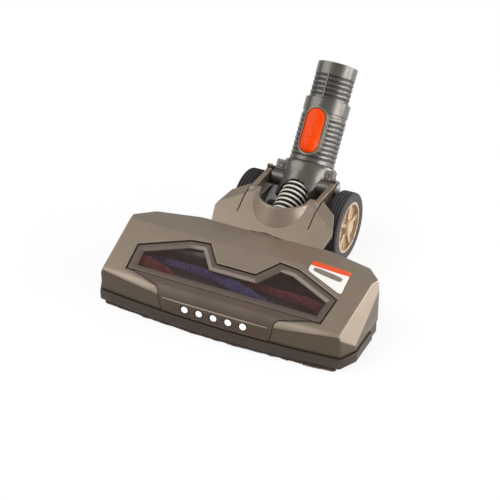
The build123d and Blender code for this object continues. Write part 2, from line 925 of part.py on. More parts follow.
# Control board beside the motor
with BuildPart() as control_board:
    pcb_low = base_top + pcb_rise
    pcb_high = pcb_low + pcb_thick
    add(block((pcb_left, pcb_front_y, pcb_low), (pcb_right, pcb_rear_y, pcb_high)))
    for share in chip_shares:
        chip_left = pcb_left + share * pcb_long
        chip_front = pcb_front_y + chip_in
        chip_far = (chip_left + chip_long, chip_front + chip_long, pcb_high + chip_high)
        add(block((chip_left, chip_front, pcb_high), chip_far))
control_board.part.label = "control_board"
export_step(control_board.part, "parts/control_board.step")

# Suction duct from the roller chamber to the hose
with BuildPart() as suction_duct:
    add(duct_solid(0))
    add(duct_solid(nozzle_bore_r - hose_bore_r), mode=Mode.SUBTRACT)
    add(hose_ring(hose_bore_r, nozzle_bore_r, 0, nozzle_long))
suction_duct.part.label = "suction_duct"
export_step(suction_duct.part, "parts/suction_duct.step")

with BuildPart() as hose:
    add(hose_ring(hose_root_r, hose_bore_r, 0, hose_long))
    rib_step = hose_long / hose_ribs
    for rib in range(hose_ribs):
        rib_low = (rib + hose_rib_lead) * rib_step
        add(hose_ring(hose_r, hose_bore_r, rib_low, rib_low + rib_step / 2))
hose.part.label = "hose"
export_step(hose.part, "parts/hose.step")

# Elbow that tilts between the cheeks: ball, sleeve, spigot, side bosses and ears
with BuildPart() as elbow:
    with Locations((0, pivot_y, pivot_z)):
        Sphere(ball_r)
    add(block((-ball_half, 0, 0), (ball_half, far, far)), mode=Mode.INTERSECT)
    shoulder_s = collar_s - swivel_gap
    add(hood_form(shoulder_s), mode=Mode.INTERSECT)
    add(cross_rod(boss_r, -boss_out, boss_out, pivot_y, pivot_z))
    add(tube_ring(sleeve_r, 0, sleeve_low_s, shoulder_s))
    add(tube_ring(spigot_r, 0, shoulder_s, spigot_end_s))
    with BuildSketch(tube_level(ear_low_s)):
        for side in (1, -1):
            with Locations((side * (ear_in + ear_out) / 2, -(ear_front + ear_back) / 2)):
                Rectangle(ear_out - ear_in, ear_front - ear_back)
    extrude(amount=ear_high_s - ear_low_s)
    add(tube_ring(spigot_r + ring_thick, ring_in_r, ring_s, ring_s + ring_thick), mode=Mode.SUBTRACT)
    add(tube_ring(spigot_bore_r, 0, spigot_low_s, spigot_end_s), mode=Mode.SUBTRACT)
    pocket_end = hose_long + cuff_flange
    add(hose_ring(pocket_r, 0, 0, pocket_end), mode=Mode.SUBTRACT)
    add(hose_ring(passage_r, 0, pocket_end, pocket_end + ball_r), mode=Mode.SUBTRACT)
    for low_x, high_x in ((pin_in - swivel_gap, boss_out), (-boss_out, swivel_gap - pin_in)):
        add(cross_rod(pin_r + pin_gap, low_x, high_x, pivot_y, pivot_z), mode=Mode.SUBTRACT)
    add(ear_screw_part, mode=Mode.SUBTRACT)
elbow.part.label = "elbow"
export_step(elbow.part, "parts/elbow.step")

with BuildPart() as ear_screws:
    add(ear_screw_part)
ear_screws.part.label = "ear_screws"
export_step(ear_screws.part, "parts/ear_screws.step")

with BuildPart() as hose_cuff:
    add(hose_ring(pocket_r, nozzle_bore_r, hose_long, pocket_end))
    add(hose_ring(hose_bore_r, nozzle_bore_r, hose_long - nozzle_long, hose_long))
hose_cuff.part.label = "hose_cuff"
export_step(hose_cuff.part, "parts/hose_cuff.step")

with BuildPart() as snap_ring:
    add(tube_ring(ring_r, ring_in_r, ring_s, ring_s + ring_thick))
snap_ring.part.label = "snap_ring"
export_step(snap_ring.part, "parts/snap_ring.step")

for name, side in (("right", 1), ("left", -1)):
    with BuildPart() as pivot_pin:
        pin_low, pin_high = sorted((side * pin_in, side * cheek_out))
        add(cross_rod(pin_r, pin_low, pin_high, pivot_y, pivot_z))
        head_low, head_high = sorted((side * cheek_out, side * (cheek_out + pin_head)))
        add(cross_rod(pin_head_r, head_low, head_high, pivot_y, pivot_z))
    pivot_pin.part.label = f"pivot_pin_{name}"
    export_step(pivot_pin.part, f"parts/pivot_pin_{name}.step")

# Swivelling socket: ribbed outside, a trapped shoulder below, a bore for the tube above
with BuildPart() as tube_socket:
    add(tube_ring(socket_r - rib_depth, 0, collar_s, socket_end_s))
    add(tube_ring(socket_r, 0, collar_s, collar_s + collar_long))
    add(tube_ring(socket_r, 0, smooth_s, socket_end_s))
    rib_count = int((smooth_s - collar_s - collar_long) / rib_pitch)
    for rib in range(rib_count):
        rib_low = collar_s + collar_long + (rib + 1) * rib_pitch - rib_wide
        add(tube_ring(socket_r, 0, rib_low, rib_low + rib_wide))
    add(button_pad)
    shoulder_top = ring_s - swivel_gap
    add(tube_ring(spigot_r + swivel_gap, 0, collar_s, shoulder_top), mode=Mode.SUBTRACT)
    add(tube_ring(ring_r + swivel_gap, 0, shoulder_top, spigot_end_s + ring_room), mode=Mode.SUBTRACT)
    add(tube_ring(spigot_bore_r, 0, spigot_end_s, wand_foot_s), mode=Mode.SUBTRACT)
    add(tube_ring(wand_r, 0, wand_foot_s, socket_end_s), mode=Mode.SUBTRACT)
    add(button_pocket, mode=Mode.SUBTRACT)
tube_socket.part.label = "tube_socket"
export_step(tube_socket.part, "parts/tube_socket.step")

with BuildPart() as button_bezel:
    add(stadium(button_gap + bezel_wide, button_reach))
    add(stadium(button_gap, button_reach), mode=Mode.SUBTRACT)
    add(tube_ring(bezel_out_r, socket_r + pad_proud, collar_s, socket_end_s), mode=Mode.INTERSECT)
button_bezel.part.label = "button_bezel"
export_step(button_bezel.part, "parts/button_bezel.step")

with BuildPart() as release_button:
    add(stadium(0, button_reach))
    add(tube_ring(button_out_r, button_in_r, collar_s, socket_end_s), mode=Mode.INTERSECT)
release_button.part.label = "release_button"
export_step(release_button.part, "parts/release_button.step")

with BuildPart() as wand_tube:
    add(tube_ring(wand_r, wand_bore_r, wand_foot_s, wand_end_s))
    for groove in range(wand_grooves):
        groove_low = socket_end_s + rib_wide + groove * rib_pitch
        add(tube_ring(socket_r, wand_r - rib_depth, groove_low, groove_low + rib_wide), mode=Mode.SUBTRACT)
wand_tube.part.label = "wand_tube"
export_step(wand_tube.part, "parts/wand_tube.step")

# Wheels, right and left: stub axle, spoked rim, grooved tyre and hub cap
for name, side in (("right", 1), ("left", -1)):
    facing = Plane(origin=(0, wheel_y, wheel_z), x_dir=(0, 1, 0), z_dir=(side, 0, 0))
    with BuildPart() as axle:
        with BuildSketch(facing.offset(cheek_in)):
            Circle(axle_r)
        extrude(amount=axle_end - cheek_in)
    axle.part.label = f"axle_{name}"
    export_step(axle.part, f"parts/axle_{name}.step")

    with BuildPart() as rim:
        with BuildSketch(facing.offset(rim_in)):
            Circle(rim_r)
            Circle(rim_r - rim_ring, mode=Mode.SUBTRACT)
        extrude(amount=rim_out - rim_in)
        with BuildSketch(facing.offset(hub_in)):
            Circle(hub_r)
        extrude(amount=rim_out - hub_in)
        with BuildSketch(facing.offset(web_in)):
            Circle(rim_r - rim_ring / 2)
            with PolarLocations(web_hole_at, spoke_count, start_angle=180 / spoke_count):
                Circle(web_hole_r, mode=Mode.SUBTRACT)
        extrude(amount=web_out - web_in)
        with BuildSketch(facing.offset(web_out)):
            with PolarLocations(rim_r / 2, spoke_count):
                Rectangle(rim_r, spoke_wide)
            Circle(rim_r - rim_ring / 2, mode=Mode.INTERSECT)
        extrude(amount=spoke_out - web_out)
        with BuildSketch(facing.offset(hub_in)):
            Circle(axle_r + axle_gap)
        extrude(amount=rim_out - hub_in, mode=Mode.SUBTRACT)
    rim.part.label = f"rim_{name}"
    export_step(rim.part, f"parts/rim_{name}.step")

    with BuildPart() as tyre:
        with BuildSketch(facing.offset(tyre_in)):
            Circle(tyre_r)
        extrude(amount=tyre_out - tyre_in)
        fillet(tyre.edges().filter_by(GeomType.CIRCLE), tyre_round)
        with BuildSketch(facing.offset(tyre_in)):
            Circle(rim_r)
        extrude(amount=tyre_out - tyre_in, mode=Mode.SUBTRACT)
        groove_step = (tyre_out - tyre_in) / (tyre_grooves + 1)
        for groove in range(tyre_grooves):
            with BuildSketch(facing.offset(tyre_in + (groove + 1) * groove_step - groove_wide / 2)):
                Circle(tyre_r)
                Circle(tyre_r - groove_deep, mode=Mode.SUBTRACT)
            extrude(amount=groove_wide, mode=Mode.SUBTRACT)
    tyre.part.label = f"tyre_{name}"
    export_step(tyre.part, f"parts/tyre_{name}.step")

    with BuildPart() as hub_cap:
        with BuildSketch(facing.offset(rim_out)):
            Circle(cap_r)
        extrude(amount=cap_thick)
    hub_cap.part.label = f"hub_cap_{name}"
    export_step(hub_cap.part, f"parts/hub_cap_{name}.step")
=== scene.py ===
"""Studio scene of a motorised floor head for a stick vacuum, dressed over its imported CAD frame."""

import json
import logging
import math
import random
from dataclasses import dataclass, field
from enum import Enum
from typing import Callable, Iterable, Sequence

import bmesh
import bpy
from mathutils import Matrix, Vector
from mathutils.bvhtree import BVHTree

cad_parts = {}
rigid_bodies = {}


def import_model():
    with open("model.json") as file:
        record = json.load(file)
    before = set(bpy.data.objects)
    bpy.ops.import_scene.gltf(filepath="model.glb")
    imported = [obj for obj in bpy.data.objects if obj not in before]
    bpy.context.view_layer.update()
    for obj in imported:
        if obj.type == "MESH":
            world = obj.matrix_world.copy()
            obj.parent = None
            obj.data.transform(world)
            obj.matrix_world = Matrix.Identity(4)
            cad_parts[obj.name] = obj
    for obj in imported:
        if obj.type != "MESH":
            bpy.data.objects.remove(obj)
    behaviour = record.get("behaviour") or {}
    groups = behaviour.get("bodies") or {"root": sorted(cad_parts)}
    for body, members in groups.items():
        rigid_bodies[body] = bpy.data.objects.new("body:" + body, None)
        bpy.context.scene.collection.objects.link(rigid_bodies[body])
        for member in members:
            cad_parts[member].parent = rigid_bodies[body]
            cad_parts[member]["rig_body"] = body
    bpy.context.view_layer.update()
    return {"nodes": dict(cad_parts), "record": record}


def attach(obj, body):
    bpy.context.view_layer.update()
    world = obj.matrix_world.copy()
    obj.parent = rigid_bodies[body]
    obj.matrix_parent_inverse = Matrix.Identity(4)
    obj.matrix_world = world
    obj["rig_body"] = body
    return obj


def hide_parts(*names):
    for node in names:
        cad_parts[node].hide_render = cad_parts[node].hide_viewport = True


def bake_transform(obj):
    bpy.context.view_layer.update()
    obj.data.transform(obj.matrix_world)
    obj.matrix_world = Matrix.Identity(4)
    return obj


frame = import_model()
LOG = logging.getLogger("floor_head")
MM = 0.001
WELD = 2e-6  # metres between points that count as one
FLAT_TURN = 0.6  # degrees between faces that count as one
CREASE_TURN = 18.0  # degrees from which an inner edge stays sharp
SOFT_TURN = 32.0  # degrees up to which an eased piece is shaded smooth

Colour = tuple[float, float, float]
Point = tuple[float, float, float]
Pair = tuple[float, float]
Face = tuple[int, ...]
Socket = bpy.types.NodeSocket
Value = float | Colour | Socket


class Body(Enum):
    """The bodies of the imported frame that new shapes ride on."""

    HEAD = "head"
    ROLLER = "roller"
    NECK = "neck"
    SWIVEL = "swivel"
    BUTTON = "button"


class Side(Enum):
    """Left or right, as the sign of X."""

    LEFT = -1
    RIGHT = 1


def linear(red: int, green: int, blue: int) -> Colour:
    """Turn a display colour of 0 to 255 into the linear values that a shader takes."""
    shares = (channel / 255 for channel in (red, green, blue))
    return tuple(c / 12.92 if c <= 0.04045 else ((c + 0.055) / 1.055) ** 2.4 for c in shares)


def toned(colour: Colour, factor: float) -> Colour:
    """A colour made darker or paler by a factor."""
    return tuple(min(1.0, c * factor) for c in colour)


def circle(count: int) -> list[float]:
    """The angles of a full turn in equal steps, in radians."""
    return [math.tau * k / count for k in range(count)]


def eased(share: float) -> float:
    """A share from 0 to 1 with a soft start and a soft end."""
    return share * share * (3 - 2 * share)


def settle(work: bmesh.types.BMesh, mesh: bpy.types.Mesh) -> bpy.types.Mesh:
    """Write worked faces to a mesh.

    Args:
        work: The faces, freed afterwards.
        mesh: The mesh to write to.

    Returns:
        The same mesh.
    """
    work.to_mesh(mesh)
    work.free()
    return mesh


class Nodes:
    """A node material in the making, with its Principled shader and object coordinates."""

    def __init__(self, name: str) -> None:
        """Start a material.

        Args:
            name: The material's name.
        """
        self.material = bpy.data.materials.new(name)
        self.material.use_nodes = True
        self.tree = self.material.node_tree
        self.shader = self.tree.nodes["Principled BSDF"]
        self.place = self.node("ShaderNodeTexCoord").outputs["Object"]

    def node(self, kind: str, inputs: dict | None = None, **settings: object) -> bpy.types.Node:
        """Add a node.

        Args:
            kind: Blender's name of the node type.
            inputs: Values or sockets by input name or index.
            settings: Properties of the node itself.

        Returns:
            The new node.
        """
        made = self.tree.nodes.new(kind)
        for key, value in settings.items():
            setattr(made, key, value)
        for key, value in (inputs or {}).items():
            if isinstance(value, Socket):
                self.tree.links.new(value, made.inputs[key])
            else:
                made.inputs[key].default_value = value
        return made

    def noise(self, scale: float, detail: float = 2.0, stretch: Point | None = None) -> Socket:
        """Noise over the piece.

        Args:
            scale: Features per metre.
            detail: Octaves of finer noise.
            stretch: Scale along each axis, for drawn-out grain.

        Returns:
            The noise value from 0 to 1.
        """
        place = self.place
        if stretch:
            place = self.node("ShaderNodeMapping", {"Vector": place, "Scale": stretch}).outputs[0]
        values = {"Vector": place, "Scale": scale, "Detail": detail}
        return self.node("ShaderNodeTexNoise", values).outputs[0]

    def spread(self, source: Socket, low: float, high: float, start: float = 0.3, end: float = 0.7) -> Socket:
        """Map a value's range from start to end onto low to high."""
        values = {"Value": source, "From Min": start, "From Max": end, "To Min": low, "To Max": high}
        return self.node("ShaderNodeMapRange", values).outputs[0]

    def mix(self, share: Socket, first: Value, second: Value) -> Socket:
        """Mix two colours.

        Args:
            share: Share of the second colour.
            first: Colour or socket at 0.
            second: Colour or socket at 1.

        Returns:
            The mixed colour.
        """
        ends = [end if isinstance(end, Socket) else (*end, 1.0) for end in (first, second)]
        made = self.node("ShaderNodeMix", {0: share, 6: ends[0], 7: ends[1]}, data_type="RGBA")
        return made.outputs[2]

    def maths(self, kind: str, first: Value, second: Value, clamp: bool = False) -> Socket:
        """Work out one value from two."""
        return self.node("ShaderNodeMath", {0: first, 1: second}, operation=kind, use_clamp=clamp).outputs[0]

    def times(self, first: Value, second: Value) -> Socket:
        """Multiply two values."""
        return self.maths("MULTIPLY", first, second)

    def rounded(self, radius: Value) -> tuple[Socket, Socket]:
        """Soften the shading of hard edges.

        Args:
            radius: Radius of the softened edge in metres, plain or as a socket.

        Returns:
            The softened normal, and a mask that is 1 along the edges.
        """
        soft = self.node("ShaderNodeBevel", {"Radius": radius}, samples=4).outputs[0]
        true = self.node("ShaderNodeNewGeometry").outputs["Normal"]
        close = self.node("ShaderNodeVectorMath", {0: soft, 1: true}, operation="DOT_PRODUCT")
        return soft, self.spread(close.outputs["Value"], 1.0, 0.0, 0.86, 0.995)

    def hollow(self, reach: float) -> Socket:
        """A mask for painted shade that is 1 deep in grooves up to a reach in metres wide."""
        open_sky = self.node("ShaderNodeAmbientOcclusion", {"Distance": reach}, samples=6).outputs["AO"]
        return self.spread(open_sky, 1.0, 0.0, 0.4, 0.9)

    def bump(self, height: Socket, depth: float, normal: Socket | None = None) -> None:
        """Drive the shader's normal from a height.

        Args:
            height: Height from 0 to 1.
            depth: Height of 1, in metres.
            normal: Normal to start from.
        """
        inputs = {"Height": height, "Distance": depth, "Strength": 1.0}
        if normal is not None:
            inputs["Normal"] = normal
        self.feed("Normal", self.node("ShaderNodeBump", inputs).outputs[0])

    def roughen(self, source: Socket, roughness: float, low: float = 0.85, high: float = 1.15) -> None:
        """Let the roughness vary with a value, from low to high times its own."""
        self.feed("Roughness", self.spread(source, roughness * low, roughness * high))

    def feed(self, socket: str, value: Value) -> None:
        """Set or link one of the shader's inputs.

        Args:
            socket: The input's name.
            value: A socket to link, or a plain value.
        """
        if isinstance(value, Socket):
            self.tree.links.new(value, self.shader.inputs[socket])
        elif isinstance(value, tuple):
            self.shader.inputs[socket].default_value = (*value, 1.0)
        else:
            self.shader.inputs[socket].default_value = value


@dataclass(frozen=True)
class Finish:
    """A surface finish that makes its own node material once."""

    name: str
    colour: Colour
    roughness: float

    def material(self) -> bpy.types.Material:
        """The finish's material, made at its first use.

        Returns:
            The material.
        """
        found = bpy.data.materials.get(self.name)
        if found is None:
            nodes = Nodes(self.name)
            self.fill(nodes)
            found = nodes.material
        return found

    def fill(self, nodes: Nodes) -> None:
        """Build the material's nodes."""
        raise NotImplementedError


@dataclass(frozen=True)
class Moulding(Finish):
    """Injection-moulded plastic: faint mottling, fine spark-eroded grain and rubbed edges."""

    edge: Colour = (0.3, 0.3, 0.3)
    metallic: float = 0.0
    coat: float = 0.0
    grain: float = 1800.0
    grain_depth: float = 0.00003
    mottle: float = 0.12
    edge_round: float = 0.0005
    edge_share: float = 0.35
    gloss: float = 0.5
    # Share, reach and colour of the painted shade in grooves.
    shade: float = 0.0
    groove: float = 0.002
    painted_shade_colour: Colour = (0.004, 0.004, 0.004)
    cloud: Pair = (34.0, 4.0)
    wear: Pair = (240.0, 3.0)
    wear_least: float = 0.2
    smear: Pair = (90.0, 5.0)
    smear_most: float = 1.15
    coat_roughness: float = 0.12

    def fill(self, nodes: Nodes) -> None:
        """Build the plastic's nodes.

        Args:
            nodes: The material in the making.
        """
        soft, edge = nodes.rounded(self.radius(nodes))
        rubbed = nodes.times(edge, nodes.spread(nodes.noise(*self.wear), self.wear_least, self.edge_share))
        skin = nodes.mix(rubbed, self.tint(nodes), self.edge)
        nodes.feed("Base Color", self.shaded(nodes, skin))
        nodes.roughen(nodes.noise(*self.smear), self.roughness, high=self.smear_most)
        nodes.feed("Metallic", self.metallic)
        nodes.feed("Coat Weight", self.coat)
        nodes.feed("Coat Roughness", self.coat_roughness)
        nodes.feed("Specular IOR Level", self.gloss)
        nodes.bump(nodes.noise(self.grain), self.grain_depth, soft)

    def tint(self, nodes: Nodes) -> Socket:
        """The mottled colour of the plastic."""
        cloud = nodes.spread(nodes.noise(*self.cloud), 0.0, 1.0)
        return nodes.mix(cloud, toned(self.colour, 1 - self.mottle), toned(self.colour, 1 + self.mottle))

    def radius(self, nodes: Nodes) -> Value:
        """The radius that edges are softened by, in metres."""
        return self.edge_round

    def shaded(self, nodes: Nodes, skin: Socket) -> Socket:
        """Darken a colour with painted shade in grooves.

        Args:
            nodes: The material in the making.
            skin: The colour of the open surface.

        Returns:
            The colour with painted shade in its grooves.
        """
        if not self.shade:
            return skin
        # Painted shade: grooves that are closed in turn towards a near-black colour.
        return nodes.mix(nodes.times(nodes.hollow(self.groove), self.shade), skin, self.painted_shade_colour)


@dataclass(frozen=True)
class FlakePaint(Moulding):
    """Metallic moulding: fine flakes that catch the light in different ways under a satin skin."""

    cloud: Pair = (26.0, 3.0)
    wear: Pair = (200.0, 3.0)
    wear_least: float = 0.15
    smear: Pair = (70.0, 5.0)
    smear_most: float = 1.2
    coat_roughness: float = 0.18
    flake: float = 2600.0
    sparkle: float = 0.16
    nose_round: float = 0.0
    nose_depth: Pair = (0.006, 0.014)
    # Colour of the painted shade on steep and downward faces, or None for none.
    under: Colour | None = None

    def tint(self, nodes: Nodes) -> Socket:
        """The mottled colour with brighter flakes in it.

        Args:
            nodes: The material in the making.

        Returns:
            The colour.
        """
        cells = nodes.node("ShaderNodeTexVoronoi", {"Vector": nodes.place, "Scale": self.flake})
        glint = nodes.node("ShaderNodeSeparateColor", {0: cells.outputs["Color"]}).outputs[0]
        share = nodes.spread(glint, 0.0, self.sparkle * 4, 0.55, 1.0)
        return nodes.mix(share, super().tint(nodes), toned(self.colour, 1 + 2.5 * self.sparkle))

    def radius(self, nodes: Nodes) -> Value:
        """The radius that edges are softened by, larger at the nose of the head.

        Args:
            nodes: The material in the making.

        Returns:
            The radius in metres.
        """
        if not self.nose_round:
            return self.edge_round
        depth = nodes.node("ShaderNodeSeparateXYZ", {0: nodes.place}).outputs["Y"]
        return nodes.spread(depth, self.nose_round, self.edge_round, *self.nose_depth)

    def shaded(self, nodes: Nodes, skin: Socket) -> Socket:
        """Paint shade on steep and downward faces by turning the colour towards a darker, warmer one, and paint
        shade in its grooves.

        Args:
            nodes: The material in the making.
            skin: The colour of the open surface.

        Returns:
            The colour with both.
        """
        # Painted shade: the more a face turns away from up, the more it takes the darker, warmer colour.
        if self.under:
            normal = nodes.node("ShaderNodeNewGeometry").outputs["Normal"]
            up = nodes.node("ShaderNodeSeparateXYZ", {0: normal}).outputs["Z"]
            skin = nodes.mix(nodes.spread(up, 0.92, 0.0, 0.05, 0.32), skin, self.under)
        return super().shaded(nodes, skin)


@dataclass(frozen=True)
class Rubber(Finish):
    """Dull rubber with a dusty bloom and a pitted skin."""

    bloom: Colour = (0.09, 0.085, 0.08)
    gloss: float = 0.12
    dust: Pair = (120.0, 6.0)
    scuff: float = 400.0
    pits: Pair = (2600.0, 3.0)
    pit_depth: float = 0.00006
    edge_round: float = 0.0004

    def fill(self, nodes: Nodes) -> None:
        """Build the rubber's nodes.

        Args:
            nodes: The material in the making.
        """
        dust = nodes.spread(nodes.noise(*self.dust), 0.0, 0.55, 0.45, 0.8)
        nodes.feed("Base Color", nodes.mix(dust, self.colour, self.bloom))
        nodes.roughen(nodes.noise(self.scuff), self.roughness)
        nodes.feed("Specular IOR Level", self.gloss)
        soft, _ = nodes.rounded(self.edge_round)
        nodes.bump(nodes.noise(*self.pits), self.pit_depth, soft)


@dataclass(frozen=True)
class Flock(Finish):
    """Tufts and flock: each strand a little lighter or darker, with a soft sheen."""

    tip: Colour = (0.3, 0.3, 0.3)
    strand: Pair = (1500.0, 3.0)
    clump: float = 160.0
    strand_depth: float = 0.0002

    def fill(self, nodes: Nodes) -> None:
        """Build the flock's nodes.

        Args:
            nodes: The material in the making.
        """
        strand = nodes.noise(*self.strand)
        clump = nodes.noise(self.clump)
        share = nodes.times(nodes.spread(strand, 0.0, 1.0), nodes.spread(clump, 0.35, 1.0))
        nodes.feed("Base Color", nodes.mix(share, self.colour, self.tip))
        nodes.feed("Roughness", nodes.spread(strand, self.roughness, 1.0))
        nodes.feed("Sheen Weight", 0.5)
        nodes.feed("Sheen Roughness", 0.4)
        nodes.bump(strand, self.strand_depth)


@dataclass(frozen=True)
class Steel(Finish):
    """Drawn or turned steel with fine lines along X."""

    lines: float = 900.0
    drawn: Point = (0.05, 1.0, 1.0)
    line_depth: float = 0.00002

    def fill(self, nodes: Nodes) -> None:
        """Build the steel's nodes.

        Args:
            nodes: The material in the making.
        """
        lines = nodes.noise(self.lines, 3.0, self.drawn)
        nodes.feed("Base Color", nodes.mix(nodes.spread(lines, 0.0, 1.0), toned(self.colour, 0.7), self.colour))
        nodes.feed("Metallic", 1.0)
        nodes.roughen(lines, self.roughness, 0.7, 1.3)
        nodes.bump(lines, self.line_depth)


@dataclass(frozen=True)
class SmokedPane(Finish):
    """Smoked clear plastic: dark, glossy, with faint wiping marks."""

    cover: float = 0.5
    wipes: float = 60.0
    drawn: Point = (0.3, 1.0, 1.0)

    def fill(self, nodes: Nodes) -> None:
        """Build the pane's nodes.

        Args:
            nodes: The material in the making.
        """
        wipes = nodes.noise(self.wipes, 6.0, self.drawn)
        nodes.feed("Base Color", nodes.mix(nodes.spread(wipes, 0.0, 0.6), self.colour, toned(self.colour, 1.8)))
        nodes.roughen(wipes, self.roughness, 0.6, 1.8)
        nodes.feed("Alpha", self.cover)
        nodes.feed("Coat Weight", 0.3)
        nodes.feed("Coat Roughness", 0.05)


@dataclass(frozen=True)
class GlowLens(Finish):
    """A lit lamp: a milky lens with a faint swirl."""

    strength: float = 0.6
    swirl: float = 700.0

    def fill(self, nodes: Nodes) -> None:
        """Build the lamp's nodes.

        Args:
            nodes: The material in the making.
        """
        swirl = nodes.noise(self.swirl)
        nodes.feed("Base Color", nodes.mix(nodes.spread(swirl, 0.0, 1.0), toned(self.colour, 0.82), self.colour))
        nodes.roughen(swirl, self.roughness, 0.8, 1.3)
        nodes.feed("Emission Color", self.colour)
        nodes.feed("Emission Strength", self.strength)
        nodes.feed("Coat Weight", 0.6)


@dataclass(frozen=True)
class Printed(Finish):
    """A printed label film: flat ink with faint fibre and a soft gloss."""

    fibre: Pair = (1400.0, 4.0)
    fibre_depth: float = 0.00001

    def fill(self, nodes: Nodes) -> None:
        """Build the print's nodes.

        Args:
            nodes: The material in the making.
        """
        fibre = nodes.noise(*self.fibre)
        nodes.feed("Base Color", nodes.mix(nodes.spread(fibre, 0.0, 1.0), toned(self.colour, 0.9), self.colour))
        nodes.roughen(fibre, self.roughness)
        nodes.bump(fibre, self.fibre_depth)


class Paint(Enum):
    """Every finish of this head."""

    # BODY's under colour is painted shade on its steep faces; the shade and groove settings of BODY, NECK and PANEL
    # paint shade in their grooves.
    BODY = FlakePaint("metallic_olive", linear(133, 119, 103), 0.36, linear(170, 162, 148), 0.4, 0.1,
                      1500.0, 0.000015, 0.05, 0.0008, 0.22, shade=0.6, groove=0.0015, nose_round=0.005,
                      under=linear(74, 60, 41))
    NECK = FlakePaint("metallic_grey", linear(88, 83, 77), 0.30, linear(168, 166, 158), 0.5, 0.25,
                      1500.0, 0.000015, 0.06, 0.0006, 0.4, shade=0.95, groove=0.0022)
    BASE = Moulding("dark_base", linear(46, 42, 38), 0.55, linear(90, 84, 76))
    BUMPER = Moulding("brown_bumper", linear(60, 49, 40), 0.45, linear(118, 102, 88),
                      grain_depth=0.00005, gloss=0.35)
    BEZEL = FlakePaint("olive_bezel", linear(112, 104, 84), 0.34, linear(190, 182, 160), 0.3, 0.1,
                       1500.0, 0.00001, 0.05, 0.0006, 0.5)
    BORDER = FlakePaint("brown_border", linear(96, 82, 73), 0.3, linear(160, 146, 130), 0.3, 0.1,
                        1500.0, 0.00001, 0.05, 0.0006, 0.5)
    PANEL = Moulding("brown_panel", linear(88, 73, 63), 0.42, linear(132, 114, 98),
                     gloss=0.3, shade=0.9, groove=0.0016)
    # Painted shade and highlight on the light panel: the gap colour is darker than the panel's own, and the rib and
    # ridge colours are paler.
    GAP = Moulding("panel_gap", linear(50, 38, 31), 0.6, linear(80, 66, 56), gloss=0.2)
    RIDGE = Moulding("panel_ridge", linear(138, 124, 110), 0.3, linear(196, 186, 174))
    RIB = Moulding("brown_ribs", linear(104, 87, 74), 0.4, linear(140, 120, 102), gloss=0.3)
    PANE = SmokedPane("smoked_pane", linear(46, 31, 26), 0.07, 0.38)
    LAMP = GlowLens("lit_lamp", (1.0, 1.0, 1.0), 0.2, 0.55)
    BOARD = Moulding("green_board", linear(24, 96, 52), 0.45, linear(170, 160, 90))
    FLOCK = Flock("dark_flock", linear(44, 32, 26), 0.85, linear(104, 80, 66))
    WIPER = Rubber("black_wiper", linear(24, 23, 22), 0.6)
    STEEL = Steel("bright_steel", (0.62, 0.61, 0.59), 0.32)
    CORE = Moulding("black_core", linear(30, 28, 30), 0.5, linear(70, 68, 70))
    BLUE = Flock("blue_tufts", linear(98, 90, 164), 0.7, linear(164, 158, 222))
    RED = Flock("red_tufts", linear(158, 56, 66), 0.7, linear(216, 116, 120))
    BEARING = Moulding("white_bearing", linear(214, 210, 200), 0.4, linear(240, 238, 230))
    BOOT = Moulding("grey_boot", linear(70, 69, 64), 0.4, linear(120, 118, 112))
    DUCT = Moulding("black_duct", linear(30, 29, 28), 0.55, linear(70, 68, 66))
    SLEEVE = Rubber("black_sleeve", linear(20, 19, 18), 0.5)
    COIL = Moulding("pale_coil", linear(226, 218, 206), 0.3, linear(250, 248, 244), coat=0.3)
    TYRE = Rubber("tyre_rubber", linear(17, 14, 14), 0.5, linear(42, 36, 35))
    RIM = FlakePaint("rose_rim", linear(180, 155, 128), 0.3, linear(246, 230, 212), 0.5, 0.1,
                     1500.0, 0.00001, 0.06, 0.0005, 0.6)
    ORANGE = Moulding("orange_button", linear(234, 68, 0), 0.35, linear(250, 100, 20),
                      coat=0.08, mottle=0.04, gloss=0.1)
    LABEL = Printed("label_white", linear(242, 240, 234), 0.4)
    BAND = Printed("label_orange", linear(230, 84, 36), 0.4)
    BAR = Printed("label_grey", linear(128, 118, 106), 0.4)

    def material(self) -> bpy.types.Material:
        """The finish's node material."""
        return self.value.material()


@dataclass
class Shape:
    """Points and faces of a mesh in the making, in metres in the row frame."""

    points: list[Point] = field(default_factory=list)
    faces: list[Face] = field(default_factory=list)

    def add(self, points: Iterable[Sequence[float]], faces: Iterable[Face]) -> None:
        """Append points and the faces between them.

        Args:
            points: New points.
            faces: Faces by index into the new points.
        """
        start = len(self.points)
        self.points.extend(tuple(p) for p in points)
        self.faces.extend(tuple(start + i for i in face) for face in faces)

    def skin(self, rings: Sequence[Sequence[Point]], closed: bool = True, caps: bool = True) -> None:
        """Join rings of points, one after the other, with quads.

        Args:
            rings: Rings with the same number of points.
            closed: True where each ring joins up.
            caps: True to close the first and last ring.
        """
        count = len(rings[0])
        faces: list[Face] = []
        for r in range(len(rings) - 1):
            for i in range(count if closed else count - 1):
                j = (i + 1) % count
                faces.append((r * count + i, r * count + j, (r + 1) * count + j, (r + 1) * count + i))
        if caps:
            last = (len(rings) - 1) * count
            faces.append(tuple(reversed(range(count))))
            faces.append(tuple(range(last, last + count)))
        self.add([p for ring in rings for p in ring], faces)

    def mesh(self, name: str) -> bpy.types.Mesh:
        """Turn the shape into a mesh with its faces looking outwards.

        Args:
            name: The mesh's name.

        Returns:
            The mesh.
        """
        made = bpy.data.meshes.new(name)
        made.from_pydata(self.points, [], self.faces)
        work = bmesh.new()
        work.from_mesh(made)
        bmesh.ops.recalc_face_normals(work, faces=work.faces)
        return settle(work, made)


